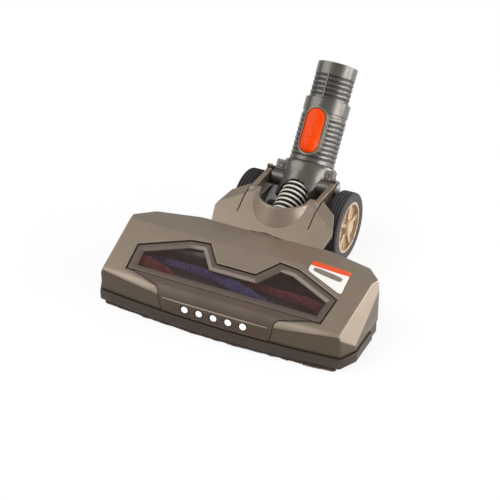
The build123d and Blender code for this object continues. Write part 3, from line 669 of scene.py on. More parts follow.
@dataclass
class SubAssembly:
    """A group of pieces that share helper methods for placing and dressing."""

    def slot_of(self, node: str) -> str:
        """The record's material slot of a CAD node."""
        return next(s["material_slot"] for s in frame["record"]["subparts"] if s["node"] == node)

    def body_of(self, node: str) -> str:
        """The body that a CAD node rides on."""
        return frame["nodes"][node]["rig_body"]

    def dress(self, node: str, paint: Paint) -> None:
        """Give a CAD node that stays as it is its finish.

        Args:
            node: The node's name.
            paint: Its finish.
        """
        data = frame["nodes"][node].data
        data.materials.clear()
        data.materials.append(paint.material())
        LOG.info("dressed %s", node)

    def publish(self, mesh: bpy.types.Mesh, paint: Paint, body: str | None, slot: str,
                stands_for: Sequence[str] = (), smooth: float = 40.0) -> bpy.types.Object:
        """Put a mesh into the scene as a piece of the object.

        Args:
            mesh: The mesh, in place.
            paint: Its finish.
            body: Body it rides on, or None to leave it on no body.
            slot: Material slot of the record; not used.
            stands_for: CAD nodes that it replaces.
            smooth: Edges sharper than this many degrees stay sharp.

        Returns:
            The new object.
        """
        mesh.materials.clear()
        mesh.materials.append(paint.material())
        mesh.shade_smooth()
        mesh.set_sharp_from_angle(angle=math.radians(smooth))
        piece = bpy.data.objects.new(mesh.name, mesh)
        bpy.context.scene.collection.objects.link(piece)
        if stands_for:
            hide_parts(*stands_for)
        if body:
            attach(piece, body)
        LOG.info("made %s with %d faces", piece.name, len(mesh.polygons))
        return piece

    def thicken(self, piece: bpy.types.Object, name: str, thickness: float, offset: float) -> None:
        """Give a sheet its thickness.

        Args:
            piece: The sheet.
            name: Name of the modifier.
            thickness: Thickness in metres.
            offset: 1 to grow outwards, 0 to grow both ways.
        """
        sheet = piece.modifiers.new(name, "SOLIDIFY")
        sheet.thickness = thickness
        sheet.offset = offset

    def open_node(self, node: str) -> bmesh.types.BMesh:
        """Copy a CAD node's mesh, with its split points welded and its flats joined.

        Args:
            node: The node's name.

        Returns:
            The copy, to be worked on.
        """
        work = bmesh.new()
        work.from_mesh(frame["nodes"][node].data)
        bmesh.ops.remove_doubles(work, verts=work.verts, dist=WELD)
        bmesh.ops.dissolve_limit(work, angle_limit=math.radians(FLAT_TURN), verts=work.verts, edges=work.edges)
        return work

    def crease(self, mesh: bpy.types.Mesh) -> None:
        """Keep a mesh's inner corners sharp in shading.

        Args:
            mesh: The mesh to mark.
        """
        work = bmesh.new()
        work.from_mesh(mesh)
        for edge in work.edges:
            if len(edge.link_faces) == 2 and edge.calc_face_angle_signed(0.0) < -math.radians(CREASE_TURN):
                edge.smooth = False
        settle(work, mesh)

    def ease(self, node: str, paint: Paint, width: float = 0.0005, sharp: float = 30.0) -> None:
        """Stand a copy of a CAD node with eased outer edges in for the node.

        Args:
            node: The node's name.
            paint: Its finish.
            width: Width of the eased edge in metres.
            sharp: Outer edges that turn by more than this many degrees are eased.
        """
        work = self.open_node(node)
        bmesh.ops.connect_verts_concave(work, faces=[f for f in work.faces if len(f.verts) > 4])
        limit = math.radians(sharp)
        outer = [e for e in work.edges if len(e.link_faces) == 2 and e.calc_face_angle_signed(0.0) > limit]
        bmesh.ops.bevel(work, geom=outer, offset=width, offset_type="WIDTH", segments=2, profile=0.5,
                        affect="EDGES", clamp_overlap=False)
        mesh = settle(work, bpy.data.meshes.new(f"{node}_eased"))
        piece = self.publish(mesh, paint, self.body_of(node), self.slot_of(node), [node], min(SOFT_TURN, sharp))
        self.crease(mesh)
        piece.modifiers.new("flat", "WEIGHTED_NORMAL").keep_sharp = True


@dataclass
class TubeLine:
    """The leaning axis of the neck's tube, with distances up it and round it in millimetres."""

    foot_y: float = 179.5
    foot_z: float = 60.0
    lean: float = 36.4

    def at(self, up: float, out: float, side: float = 0.0) -> Point:
        """A point in metres by its distance up the tube, out of its front and to the right."""
        s, c = math.sin(math.radians(self.lean)), math.cos(math.radians(self.lean))
        return (side * MM, (self.foot_y + up * s - out * c) * MM, (self.foot_z + up * c + out * s) * MM)

    def round(self, up: float, radius: float, turn: float) -> Point:
        """A point in metres by its distance up the tube, its radius and its angle from the front in degrees."""
        return self.at(up, radius * math.cos(math.radians(turn)), radius * math.sin(math.radians(turn)))


@dataclass(frozen=True)
class Film:
    """A thin film on the cover: plan corners from the front left round to the rear left, in millimetres.

    The lift is its height above the skin, and the corner is the share of each side that rounding takes.
    """

    name: str
    corners: tuple[Pair, Pair, Pair, Pair]
    lift: float
    paint: Paint
    corner: float


@dataclass
class HeadCase(SubAssembly):
    """Cover, window, light panel, bumper and the strips under the head, in millimetres."""

    ribs: int = 7
    rib_low: float = 14.6
    rib_pitch: float = 1.75
    rib_proud: float = 0.5
    rib_sink: float = 0.1
    rib_foot: float = 0.56
    rib_crown: float = 0.35
    ridge_foot: float = 0.7
    ridge_crown: float = 0.3
    gap_proud: float = 0.08
    panel_half: float = 49.2
    panel_columns: int = 132
    lamps: int = 5
    lamp_z: float = 21.6
    lamp_pitch: float = 13.64
    lamp_clear: float = 3.9
    collar: tuple[Pair, ...] = ((3.05, -0.6), (3.05, 0.3), (3.3, 0.55), (3.7, 0.45), (3.95, -0.3))
    collar_sides: int = 40
    bumper_middle: float = 40.0
    bumper_low: float = 4.0
    bumper_round: float = 3.0
    bumper_rim: float = 0.8
    bumper_level: float = 0.1
    fringe_half: float = 109.0
    fringe_columns: int = 110
    fringe_tufts: int = 900
    fringe_seed: int = 11
    fringe_back: float = 2.2
    fringe_rear: float = 3.4
    fringe_under: float = 0.1
    fringe_top: float = 2.0
    fringe_long: float = 2.4
    fringe_long_x: float = 92.0
    fringe_long_wide: float = 14.0
    strip_z: float = 1.0
    tuft: tuple[Point, ...] = ((0.0, 1.5, 1.0), (0.45, 1.2, 0.95), (0.8, 0.75, 0.7), (1.0, 0.25, 0.15))
    tuft_sides: int = 5
    ridge_y: float = 54.5
    ridge_z: float = 52.8
    slope_z: float = 36.0
    rear_y: float = 97.5
    rear_z: float = 46.0
    film_steps: int = 28
    film_thick: float = 0.1
    films: tuple[Film, ...] = (
        Film("label_field", ((59.0, 50.0), (95.0, 35.2), (94.3, 55.6), (57.6, 58.6)), 0.12, Paint.LABEL, 0.1),
        Film("label_band", ((57.6, 57.6), (94.3, 54.4), (93.4, 62.6), (56.6, 66.4)), 0.22, Paint.BAND, 0.12),
        Film("label_bar", ((63.0, 50.8), (90.0, 46.4), (90.2, 51.6), (62.4, 55.4)), 0.22, Paint.BAR, 0.3),
        Film("hump_foot", ((-9.0, 87.5), (9.0, 87.5), (9.0, 94.6), (-9.0, 94.6)), 0.05, Paint.BODY, 0.3),
    )

    def build(self) -> None:
        """Build and dress every piece of the case."""
        self.ease("top_cover", Paint.BODY, 0.0008, 17.0)
        self.ease("base_housing", Paint.BASE)
        self.build_bumper()
        self.ease("window_frame", Paint.BORDER, sharp=20.0)
        self.ease("light_panel", Paint.PANEL, 0.0004)
        self.dress("window_lens", Paint.PANE)
        frame["nodes"]["window_lens"].visible_shadow = False
        self.dress("led_lamps", Paint.LAMP)
        self.dress("led_board", Paint.BOARD)
        self.dress("rear_strip", Paint.WIPER)
        self.dress("base_screws", Paint.STEEL)
        self.build_panel_ribs()
        self.build_lamp_collars()
        self.build_fringe()
        for film in self.films:
            self.build_film(film)

    def front_skin(self, node: str) -> Callable[[float, float], float | None]:
        """Find how far forward a node's front lies.

        Args:
            node: The node to look at.

        Returns:
            A function from x and z in metres to the y of the front, or None off the node.
        """
        mesh = frame["nodes"][node].data
        points = [v.co.copy() for v in mesh.vertices]
        tree = BVHTree.FromPolygons(points, [tuple(p.vertices) for p in mesh.polygons])

        def front(x: float, z: float) -> float | None:
            """The y of the front at x and z."""
            hit = tree.ray_cast(Vector((x, -0.1, z)), Vector((0, 1, 0)))[0]
            return hit.y if hit is not None else None

        return front

    def lamp_places(self) -> list[float]:
        """The x of each lamp, from the left."""
        return [(i - (self.lamps - 1) / 2) * self.lamp_pitch for i in range(self.lamps)]

    def build_panel_ribs(self) -> None:
        """Lay fine ribs across the light panel, clear of the lamps: ribs paler than the panel as a painted
        highlight, dark bands of painted shade in the gaps, and a pale ridge of painted highlight above them.
        """
        rows = [self.rib_low + row * self.rib_pitch for row in range(self.ribs)]
        above = [rows[-1] + self.rib_pitch]
        half = self.rib_pitch / 2
        # The gap bands carry painted shade; the ribs and the ridge carry painted highlight.
        for name, heights, foot, crown, proud, paint in (
            ("panel_gaps", rows, half, half, self.gap_proud, Paint.GAP),
            ("panel_ribs", rows, self.rib_foot, self.rib_crown, self.rib_proud, Paint.RIB),
            ("panel_ridge", above, self.ridge_foot, self.ridge_crown, self.rib_proud, Paint.RIDGE),
        ):
            section = ((-foot, -self.rib_sink), (-crown, proud), (crown, proud), (foot, -self.rib_sink))
            self.panel_bands(name, heights, section, paint)

    def panel_bands(self, name: str, rows: Sequence[float], section: Sequence[Pair], paint: Paint) -> None:
        """Lay level bands of one section on the front of the light panel.

        Args:
            name: The piece's name.
            rows: Heights of the bands in millimetres.
            section: Points of the section, as height from the band's middle and distance out of the panel.
            paint: Their finish.
        """
        front = self.front_skin("light_panel")
        lamps = self.lamp_places()
        shape = Shape()
        for middle in rows:
            run: list[list[Point]] = []
            for column in range(self.panel_columns + 1):
                x = -self.panel_half + 2 * self.panel_half * column / self.panel_columns
                ring: list[Point] = []
                for step, reach in section:
                    z = middle + step
                    y = front(x * MM, z * MM)
                    near = any(math.hypot(x - lamp, z - self.lamp_z) < self.lamp_clear for lamp in lamps)
                    if y is None or near:
                        ring = []
                        break
                    ring.append((x * MM, y - reach * MM, z * MM))
                if ring:
                    run.append(ring)
                if run and (not ring or column == self.panel_columns):
                    if len(run) > 1:
                        shape.skin(run)
                    run = []
        self.publish(shape.mesh(name), paint, Body.HEAD.value, "panel_plastic", smooth=50.0)

    def build_lamp_collars(self) -> None:
        """Set a thin dark collar round each lamp."""
        front = self.front_skin("light_panel")
        shape = Shape()
        for x in self.lamp_places():
            y = front((x + self.lamp_clear) * MM, self.lamp_z * MM)
            shape.skin([[((x + radius * math.cos(t)) * MM, y - reach * MM,
                          (self.lamp_z + radius * math.sin(t)) * MM) for t in circle(self.collar_sides)]
                        for radius, reach in self.collar], caps=False)
        self.publish(shape.mesh("lamp_collars"), Paint.PANEL, Body.HEAD.value, "panel_plastic")

    def build_bumper(self) -> None:
        """Make the bumper with a well rounded lower edge."""
        work = self.open_node("bumper")
        middle = Vector((0.0, self.bumper_middle * MM, 0.0))
        low, top = [], []
        for edge in work.edges:
            heights = [v.co.z / MM for v in edge.verts]
            outer = any(abs(f.normal.z) < 0.5 and f.normal.dot(f.calc_center_median() - middle) > 0
                        for f in edge.link_faces)
            level = max(heights) - min(heights) < self.bumper_level
            if outer and level and len(edge.link_faces) == 2 and edge.calc_face_angle(0.0) > 1.0:
                (low if max(heights) < self.bumper_low else top).append(edge)
        for edges, width, segments in ((low, self.bumper_round, 5), (top, self.bumper_rim, 3)):
            bmesh.ops.bevel(work, geom=[e for e in edges if e.is_valid], offset=width * MM, offset_type="OFFSET",
                            segments=segments, profile=0.5, affect="EDGES", clamp_overlap=True)
        mesh = settle(work, bpy.data.meshes.new("bumper_rounded"))
        self.publish(mesh, Paint.BUMPER, Body.HEAD.value, self.slot_of("bumper"), ["bumper"], 35.0)

    def clump(self, x: float) -> float:
        """How thickly the fringe grows at x, from 0 to 1 in uneven waves."""
        return 0.5 + 0.5 * math.sin(x * 0.33 + 2.0 * math.sin(x * 0.11)) * math.sin(x * 0.071 + 0.6)

    def build_fringe(self) -> None:
        """Make the ragged flock strip under the front edge, longest towards the right."""
        chance = random.Random(self.fringe_seed)
        front = self.front_skin("front_strip")
        shape = Shape()
        slab = []
        low, high, rear = self.fringe_under * MM, self.fringe_top * MM, self.fringe_rear * MM
        for column in range(self.fringe_columns + 1):
            x = (2 * column / self.fringe_columns - 1) * self.fringe_half * MM
            near = front(x, self.strip_z * MM) + self.fringe_back * MM
            slab.append([(x, near, low), (x, near, high), (x, rear, high), (x, rear, low)])
        shape.skin(slab)
        for tuft in range(self.fringe_tufts):
            x = (2 * (tuft + chance.random()) / self.fringe_tufts - 1) * (self.fringe_half - 1.0)
            edge = front(x * MM, self.strip_z * MM) / MM + self.fringe_back
            reach = 0.2 + 1.6 * self.clump(x) * chance.uniform(0.45, 1.0)
            swell = math.exp(-((x - self.fringe_long_x) / self.fringe_long_wide) ** 2)
            reach += self.fringe_long * swell * chance.uniform(0.5, 1.0)
            wide = chance.uniform(0.35, 0.7)
            lean = chance.uniform(-1.0, 1.0)
            rings = []
            for along, drop, thick in self.tuft:
                cx, cy = x + lean * along, edge + 1.0 - (1.0 + reach) * along
                rings.append([((cx + wide * thick * math.cos(t)) * MM, cy * MM,
                               max(0.05, drop + 0.4 * thick * math.sin(t)) * MM) for t in circle(self.tuft_sides)])
            shape.skin(rings)
        self.publish(shape.mesh("flock_fringe"), Paint.FLOCK, Body.HEAD.value, "felt_strip", ["front_strip"])

    def cover_height(self, y: float) -> float:
        """Height of the cover's slope at a depth, both in millimetres.

        Args:
            y: Distance back from the front strip.

        Returns:
            The height of the skin there.
        """
        if y <= self.ridge_y:
            return self.slope_z + (self.ridge_z - self.slope_z) * y / self.ridge_y
        return self.ridge_z + (self.rear_z - self.ridge_z) * (y - self.ridge_y) / (self.rear_y - self.ridge_y)

    def build_film(self, film: Film) -> None:
        """Lay a thin film with rounded corners on the cover.

        Args:
            film: The film to lay.
        """
        (ax, ay), (bx, by), (cx, cy), (dx, dy) = film.corners
        rows = []
        for j in range(self.film_steps + 1):
            v = j / self.film_steps
            past = max(0.0, 1 - min(v, 1 - v) / film.corner)
            inset = film.corner * (1 - math.sqrt(1 - past ** 2))
            row = []
            for i in range(self.film_steps + 1):
                u = inset + (1 - 2 * inset) * i / self.film_steps
                x = (1 - v) * ((1 - u) * ax + u * bx) + v * ((1 - u) * dx + u * cx)
                y = (1 - v) * ((1 - u) * ay + u * by) + v * ((1 - u) * dy + u * cy)
                row.append((x * MM, y * MM, (self.cover_height(y) + film.lift) * MM))
            rows.append(row)
        shape = Shape()
        shape.skin(rows, closed=False, caps=False)
        piece = self.publish(shape.mesh(film.name), film.paint, Body.HEAD.value, "body_plastic")
        self.thicken(piece, "film", self.film_thick * MM, 1.0)


@dataclass
class BrushRoller(SubAssembly):
    """The spinning brush with its two pairs of twisted tufted strips, in millimetres and degrees."""

    axis_y: float = 26.0
    axis_z: float = 19.5
    half: float = 95.0
    root: float = 12.0
    tip: float = 18.5
    ragged: float = 0.9
    lean: float = 3.0
    width: float = 5.0
    fan: float = 2.6
    twist: float = 200.0
    tufts: int = 170
    rows: int = 9
    end_share: float = 0.002
    tuft: tuple[Pair, ...] = ((0.0, 0.55), (0.7, 0.6), (1.0, 0.3))
    tuft_sides: int = 4

    def build(self) -> None:
        """Build and dress the roller."""
        self.ease("roller_core", Paint.CORE, 0.0004)
        self.dress("roller_shaft", Paint.STEEL)
        self.dress("roller_pulley", Paint.BEARING)
        self.build_tufts("bristles_blue", Paint.BLUE, 0.0, 3)
        self.build_tufts("bristles_red", Paint.RED, 90.0, 5)

    def build_tufts(self, node: str, paint: Paint, start: float, seed: int) -> None:
        """Make two twisted strips of tufts.

        Args:
            node: CAD node that they stand for.
            paint: Their finish.
            start: Angle of the first strip at the left end, in degrees.
            seed: Seed of the tufts' spread.
        """
        chance = random.Random(seed)
        shape = Shape()
        for turn in (start, start + 180.0):
            for tuft in range(self.tufts):
                for row in range(self.rows):
                    share = (tuft + chance.random()) / self.tufts
                    share = min(1 - self.end_share, max(self.end_share, share))
                    across = (row + chance.uniform(0.2, 0.8)) / self.rows - 0.5
                    angle = math.radians(turn + self.twist * share)
                    lean = math.radians(chance.uniform(-self.lean, self.lean))
                    tip = self.tip - chance.uniform(0.0, self.ragged)
                    self.add_tuft(shape, share, angle, across * self.width, lean, tip)
        self.publish(shape.mesh(f"{node}_tufts"), paint, Body.ROLLER.value, self.slot_of(node), [node])

    def add_tuft(self, shape: Shape, share: float, angle: float, across: float, lean: float, tip: float) -> None:
        """Add one tuft of bristle to a shape.

        Args:
            shape: The shape to add to.
            share: Place along the roller from 0 to 1.
            angle: Angle round the roller, in radians.
            across: Place across the strip in millimetres.
            lean: Angle that the tuft leans by, in radians.
            tip: Radius of its tip in millimetres.
        """
        x = -self.half + 2 * self.half * share
        rings = []
        for along, thick in self.tuft:
            radius = self.root + (tip - self.root) * along
            turned = angle + lean * along
            spread = across * (1 + (self.fan - 1) * along)
            cy = radius * math.cos(turned) - spread * math.sin(turned)
            cz = radius * math.sin(turned) + spread * math.cos(turned)
            length = math.hypot(cy, cz)
            if length > self.tip:
                cy, cz = cy * self.tip / length, cz * self.tip / length
            ring = []
            for k in range(self.tuft_sides):
                t = math.tau * (k + 0.5) / self.tuft_sides
                dx, da = thick * math.cos(t), thick * math.sin(t)
                ring.append(((x + dx) * MM, (self.axis_y + cy - da * math.sin(turned)) * MM,
                             (self.axis_z + cz + da * math.cos(turned)) * MM))
            rings.append(ring)
        shape.skin(rings)


@dataclass
class DriveGear(SubAssembly):
    """Motor, belt, bearings, duct and control board inside the head."""

    finishes: dict[str, Paint] = field(default_factory=lambda: {
        "motor": Paint.STEEL, "motor_bracket": Paint.BASE, "motor_pulley": Paint.BEARING, "belt": Paint.WIPER,
        "bearing_left": Paint.BEARING, "bearing_right": Paint.BEARING, "control_board": Paint.BOARD,
        "suction_duct": Paint.DUCT})

    def build(self) -> None:
        """Dress the pieces inside."""
        for node, paint in self.finishes.items():
            self.dress(node, paint)


@dataclass
class WheelPair(SubAssembly):
    """The two rear wheels on their stub axles."""

    def build(self) -> None:
        """Build and dress both wheels."""
        for side in Side:
            name = side.name.lower()
            self.ease(f"tyre_{name}", Paint.TYRE, 0.0003)
            self.ease(f"rim_{name}", Paint.RIM)
            self.ease(f"hub_cap_{name}", Paint.RIM, 0.0004)
            self.dress(f"axle_{name}", Paint.STEEL)


@dataclass
class NeckElbow(SubAssembly):
    """The tilting elbow, its pins, hood and well, and the ribbed hose, in millimetres."""

    line: TubeLine = field(default_factory=TubeLine)
    hose_y: float = 106.0
    hose_z: float = 38.0
    rise: float = 19.0
    length: float = 58.0
    bend_lead: float = 8.0
    sleeve: float = 12.5
    sleeve_wave: float = 0.35
    sleeve_steps: int = 96
    sleeve_sides: int = 48
    coil: float = 13.05
    wire: float = 1.05
    wire_wide: float = 0.95
    wire_high: float = 0.8
    wire_sides: int = 8
    turns: float = 11.0
    turn_steps: int = 40
    hood_top: float = 10.4
    hood_low: float = -7.4
    hood_side: float = -13.0
    hood_back: float = -3.0
    hood_turn: float = 70.0
    hood_radius: float = 24.6
    hood_sides: int = 72
    # Share of the way down the hood, and distance out of its radius.
    hood_profile: tuple[Pair, ...] = ((0.0, -3.4), (0.0, -1.2), (0.07, -0.4), (0.16, 0.0), (0.45, 0.3),
                                      (0.75, 0.4), (0.96, 0.3), (1.0, -0.2), (1.0, -1.4), (0.8, -1.6))
    well_low: float = 42.0
    well_high: float = 65.6
    well_foot: float = 46.0
    well_tall: float = 21.0
    well_y: float = 121.5
    well_lean: float = 10.0
    well_radius: float = 24.6
    well_taper: float = 1.5
    well_steps: int = 8
    well_sides: int = 40
    boot_half: float = 28.6
    boot_thick: float = 0.2
    # Depth and height of the floor under the hose and the ball, and of the side walls' corners.
    boot_floor: tuple[Pair, ...] = ((121.0, 7.2), (131.0, 10.0), (140.0, 16.0), (147.0, 25.0), (150.0, 35.6),
                                    (154.0, 33.9), (158.0, 32.5), (162.0, 31.7), (166.0, 31.4), (170.0, 31.7))
    boot_wall: tuple[Pair, ...] = ((121.0, 8.0), (142.0, 12.0), (160.0, 22.0), (176.0, 25.0), (177.0, 45.0),
                                   (171.0, 51.0), (121.0, 51.0))

    def build(self) -> None:
        """Build and dress the neck's pieces."""
        self.ease("elbow", Paint.NECK, 0.0006)
        self.ease("ear_screws", Paint.NECK, 0.0003)
        self.dress("hose_cuff", Paint.DUCT)
        self.dress("snap_ring", Paint.STEEL)
        for side in Side:
            self.ease(f"pivot_pin_{side.name.lower()}", Paint.STEEL, 0.0004)
        self.build_hose()
        self.build_hood()
        self.build_boot()

    def along(self, t: float, radius: float, turn: float) -> Point:
        """A point round the hose's axis.

        Args:
            t: Distance along the axis in millimetres.
            radius: Distance from the axis.
            turn: Angle round the axis in radians.

        Returns:
            The point in metres.
        """
        c, s = math.cos(math.radians(self.rise)), math.sin(math.radians(self.rise))
        x, n = radius * math.cos(turn), radius * math.sin(turn)
        return (x * MM, (self.hose_y + t * c - n * s) * MM, (self.hose_z + t * s + n * c) * MM)

    def build_hose(self) -> None:
        """Make the hose: a dark sleeve with a pale coil wound over it."""
        rings = []
        for step in range(self.sleeve_steps + 1):
            share = step / self.sleeve_steps
            radius = self.sleeve + self.sleeve_wave * math.cos(math.tau * self.turns * share)
            rings.append([self.along(self.length * share, radius, t) for t in circle(self.sleeve_sides)])
        sleeve = Shape()
        sleeve.skin(rings)
        loops = []
        steps = int(self.turns * self.turn_steps)
        for step in range(steps + 1):
            turn = math.tau * self.turns * step / steps
            t = self.wire + (self.length - 2 * self.wire) * step / steps
            loops.append([self.along(t + self.wire * self.wire_wide * math.sin(q),
                                     self.coil + self.wire * self.wire_high * math.cos(q), turn)
                          for q in circle(self.wire_sides)])
        coil = Shape()
        coil.skin(loops)
        start = self.along(self.bend_lead, 0.0, 0.0)
        for name, shape, paint, nodes in (("hose_sleeve", sleeve, Paint.SLEEVE, ["hose"]),
                                          ("hose_coil", coil, Paint.COIL, [])):
            piece = self.publish(shape.mesh(name), paint, None, "hose_plastic", nodes)
            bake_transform(piece)

    def hood_foot(self, turn: float) -> float:
        """Distance up the tube of the hood's lower edge, arched over the hose at the front.

        Args:
            turn: Angle from the front in degrees.

        Returns:
            The distance in millimetres.
        """
        away = abs(turn) / self.hood_turn
        if away < 1.0:
            return self.hood_low + (self.hood_side - self.hood_low) * away ** 2
        return self.hood_side + (self.hood_back - self.hood_side) * eased(min(1.0, away - 1.0))

    def build_hood(self) -> None:
        """Make the smooth hood that wraps the elbow below the socket."""
        turns = [360.0 * k / self.hood_sides - 180.0 for k in range(self.hood_sides)]
        rings = []
        for share, out in self.hood_profile:
            ups = [self.hood_top + (self.hood_foot(turn) - self.hood_top) * share for turn in turns]
            rings.append([self.line.round(up, self.hood_radius + out, turn) for up, turn in zip(ups, turns)])
        shape = Shape()
        shape.skin(rings, caps=False)
        self.publish(shape.mesh("elbow_hood"), Paint.NECK, Body.NECK.value, "neck_plastic", smooth=50.0)

    def build_boot(self) -> None:
        """Line the well with a dark sheet, and close the room under the hose with a dark boot."""
        shape = Shape()
        rings = []
        for step in range(self.well_steps + 1):
            z = self.well_low + (self.well_high - self.well_low) * step / self.well_steps
            part = (z - self.well_foot) / self.well_tall
            middle = self.well_y + self.well_lean * part
            radius = self.well_radius - self.well_taper * part
            turns = [math.pi + math.pi * k / self.well_sides for k in range(self.well_sides + 1)]
            rings.append([(radius * math.cos(t) * MM, (middle + radius * math.sin(t)) * MM, z * MM) for t in turns])
        shape.skin(rings, closed=False, caps=False)
        across = (-self.boot_half, 0.0, self.boot_half)
        floor = [[(x * MM, y * MM, z * MM) for x in across] for y, z in self.boot_floor]
        shape.skin(floor, closed=False, caps=False)
        for side in Side:
            wall = side.value * self.boot_half * MM
            shape.add([(wall, y * MM, z * MM) for y, z in self.boot_wall], [tuple(range(len(self.boot_wall)))])
        piece = self.publish(shape.mesh("well_boot"), Paint.BOOT, Body.HEAD.value, self.slot_of("rear_strip"))
        self.thicken(piece, "sheet", self.boot_thick * MM, 0.0)


@dataclass
class TubeSocket(SubAssembly):
    """The swivelling socket, its release button and the tube above it, in millimetres and degrees."""

    line: TubeLine = field(default_factory=TubeLine)
    button_up: float = 39.0
    button_long: float = 41.0
    button_wide: float = 17.5
    button_foot: float = 21.2
    button_top: float = 22.8
    button_drop: float = 0.35
    button_sides: int = 64
    pocket_clear: float = 0.7
    thumb_up: float = -4.5
    thumb_high: float = 2.2
    thumb_step: float = 3.2
    thumb_back: float = 7.5
    thumb_long: float = 8.0
    thumb_wide: float = 7.6
    rib_start: float = 15.0
    rib_pitch: float = 4.4
    rib_wide: float = 2.4
    ribs: int = 9
    socket_groove: float = 20.3
    tube_start: float = 70.0
    tube_grooves: int = 5
    tube_groove: float = 17.9
    band_sink: float = 0.1
    band_proud: float = 0.06
    band_sides: int = 72
    # Lower end, upper end and tube radius of each spine.
    spines: tuple[Point, ...] = ((70.2, 103.8, 18.7), (15.2, 17.2, 20.9))
    spine_lead: float = 0.3
    spine_tall: float = 0.45
    spine_end: float = 0.1
    spine_sink: float = 1.0
    spine_foot: float = 2.4
    spine_crown: float = 1.7

    def build(self) -> None:
        """Build and dress the socket, button and tube."""
        self.ease("tube_socket", Paint.NECK, 0.0004)
        self.ease("button_bezel", Paint.BEZEL, 0.0004)
        self.ease("wand_tube", Paint.NECK, 0.0004)
        self.build_button()
        self.build_spines()
        self.build_grooves()

    def build_grooves(self) -> None:
        """Lay a dark band of painted shade in every groove of the socket and the tube."""
        shape = Shape()
        bands = [(self.rib_start + k * self.rib_pitch, self.rib_pitch - self.rib_wide, self.socket_groove)
                 for k in range(self.ribs)]
        bands += [(self.tube_start + self.rib_wide + k * self.rib_pitch, self.rib_wide, self.tube_groove)
                  for k in range(self.tube_grooves)]
        for low, wide, radius in bands:
            gap = self.pocket_turn(low, low + wide)
            turns = [gap + (360.0 - 2 * gap) * k / self.band_sides for k in range(self.band_sides + 1)]
            inner, outer = radius - self.band_sink, radius + self.band_proud
            section = ((low, inner), (low, outer), (low + wide, outer), (low + wide, inner))
            shape.skin([[self.line.round(up, out, turn) for turn in turns] for up, out in section],
                       closed=False, caps=False)
        # The bands are painted shade: near-black rings where the grooves fall into shade.
        self.publish(shape.mesh("groove_bands"), Paint.DUCT, Body.SWIVEL.value, "neck_plastic")

    def pocket_turn(self, low: float, high: float) -> float:
        """Half of the turn round the tube that the button's pocket takes from a band.

        Args:
            low: Distance up the tube where the band starts.
            high: Distance where it ends.

        Returns:
            The angle in degrees, 0 off the pocket.
        """
        radius = self.button_wide / 2 + self.pocket_clear
        away = abs(min(max(self.button_up, low), high) - self.button_up)
        past = max(0.0, away - (self.button_long - self.button_wide) / 2)
        half = math.sqrt(max(0.0, radius ** 2 - past ** 2))
        return math.degrees(math.asin(half / self.button_foot))

    def button_out(self, across: float, up: float, fall: float) -> float:
        """Distance of the button's upper skin from the tube's axis.

        Args:
            across: Distance to the right of the button's middle.
            up: Distance up the tube from its middle.
            fall: Distance below its crown, towards its rim.

        Returns:
            The distance in millimetres.
        """
        step = min(1.0, max(0.0, (self.thumb_up - up) / self.thumb_step))
        lengthwise = (up - self.thumb_up + self.thumb_back) / self.thumb_long
        dome = max(0.0, 1 - lengthwise ** 2 - (across / self.thumb_wide) ** 2)
        rise = self.thumb_high * eased(step) * math.sqrt(dome) - self.button_drop
        return math.sqrt((self.button_top - fall) ** 2 - across * across) + rise * (1 - min(1.0, fall * 1.4))

    def build_button(self) -> None:
        """Make the crowned button with its thumb rise near the lower end."""
        radius = self.button_wide / 2
        straight = self.button_long / 2 - radius
        outline = [(radius * math.cos(t), (straight if math.sin(t) > 0 else -straight) + radius * math.sin(t))
                   for t in circle(self.button_sides)]
        # Share of the outline and fall below the crown, first of the hollow underside and then of the top.
        under = [(share, None) for share in (0.02, 0.3, 0.6, 0.85, 1.0)]
        over = [(1.0, 0.85), (0.985, 0.45), (0.95, 0.15)] + [(0.9 - 0.04 * k, 0.0) for k in range(23)]
        rings = []
        for share, fall in under + over:
            ring = []
            for side, end in outline:
                across = side * share
                flat = math.copysign(min(abs(end), straight), end)
                up = flat * share ** 0.7 + (end - flat) * share
                if fall is None:
                    out = math.sqrt(self.button_foot ** 2 - across * across)
                else:
                    out = self.button_out(across, up, fall)
                ring.append(self.line.at(self.button_up + up, out, across))
            rings.append(ring)
        shape = Shape()
        shape.skin(rings)
        self.publish(shape.mesh("button_cap"), Paint.ORANGE, Body.BUTTON.value, "button_plastic",
                     ["release_button"], 60.0)

    def build_spines(self) -> None:
        """Run a thin raised spine down the front of the tube and below the button."""
        shape = Shape()
        for low, high, radius in self.spines:
            rings = []
            for up in (low, low + self.spine_lead, high - self.spine_lead, high):
                crown = radius + (self.spine_tall if low < up < high else self.spine_end)
                foot = radius - self.spine_sink
                section = ((foot, -self.spine_foot), (crown, -self.spine_crown),
                           (crown, self.spine_crown), (foot, self.spine_foot))
                rings.append([self.line.round(up, out, turn) for out, turn in section])
            shape.skin(rings)
        self.publish(shape.mesh("tube_spine"), Paint.NECK, Body.SWIVEL.value, "neck_plastic")


@dataclass(frozen=True)
class SoftBox:
    """A rectangular lamp, by its place and size in metres and its power in watts."""

    name: str
    place: Point
    size: Pair
    power: float

    def hang(self, scene: bpy.types.Scene, aim: Point) -> None:
        """Hang the lamp in a scene.

        Args:
            scene: The scene to take the lamp.
            aim: Point that it shines at.
        """
        data = bpy.data.lights.new(self.name, "AREA")
        data.shape = "RECTANGLE"
        data.size, data.size_y = self.size
        data.energy = self.power
        lamp = bpy.data.objects.new(self.name, data)
        lamp.location = self.place
        lamp.rotation_euler = (Vector(aim) - Vector(self.place)).to_track_quat("-Z", "Y").to_euler()
        scene.collection.objects.link(lamp)


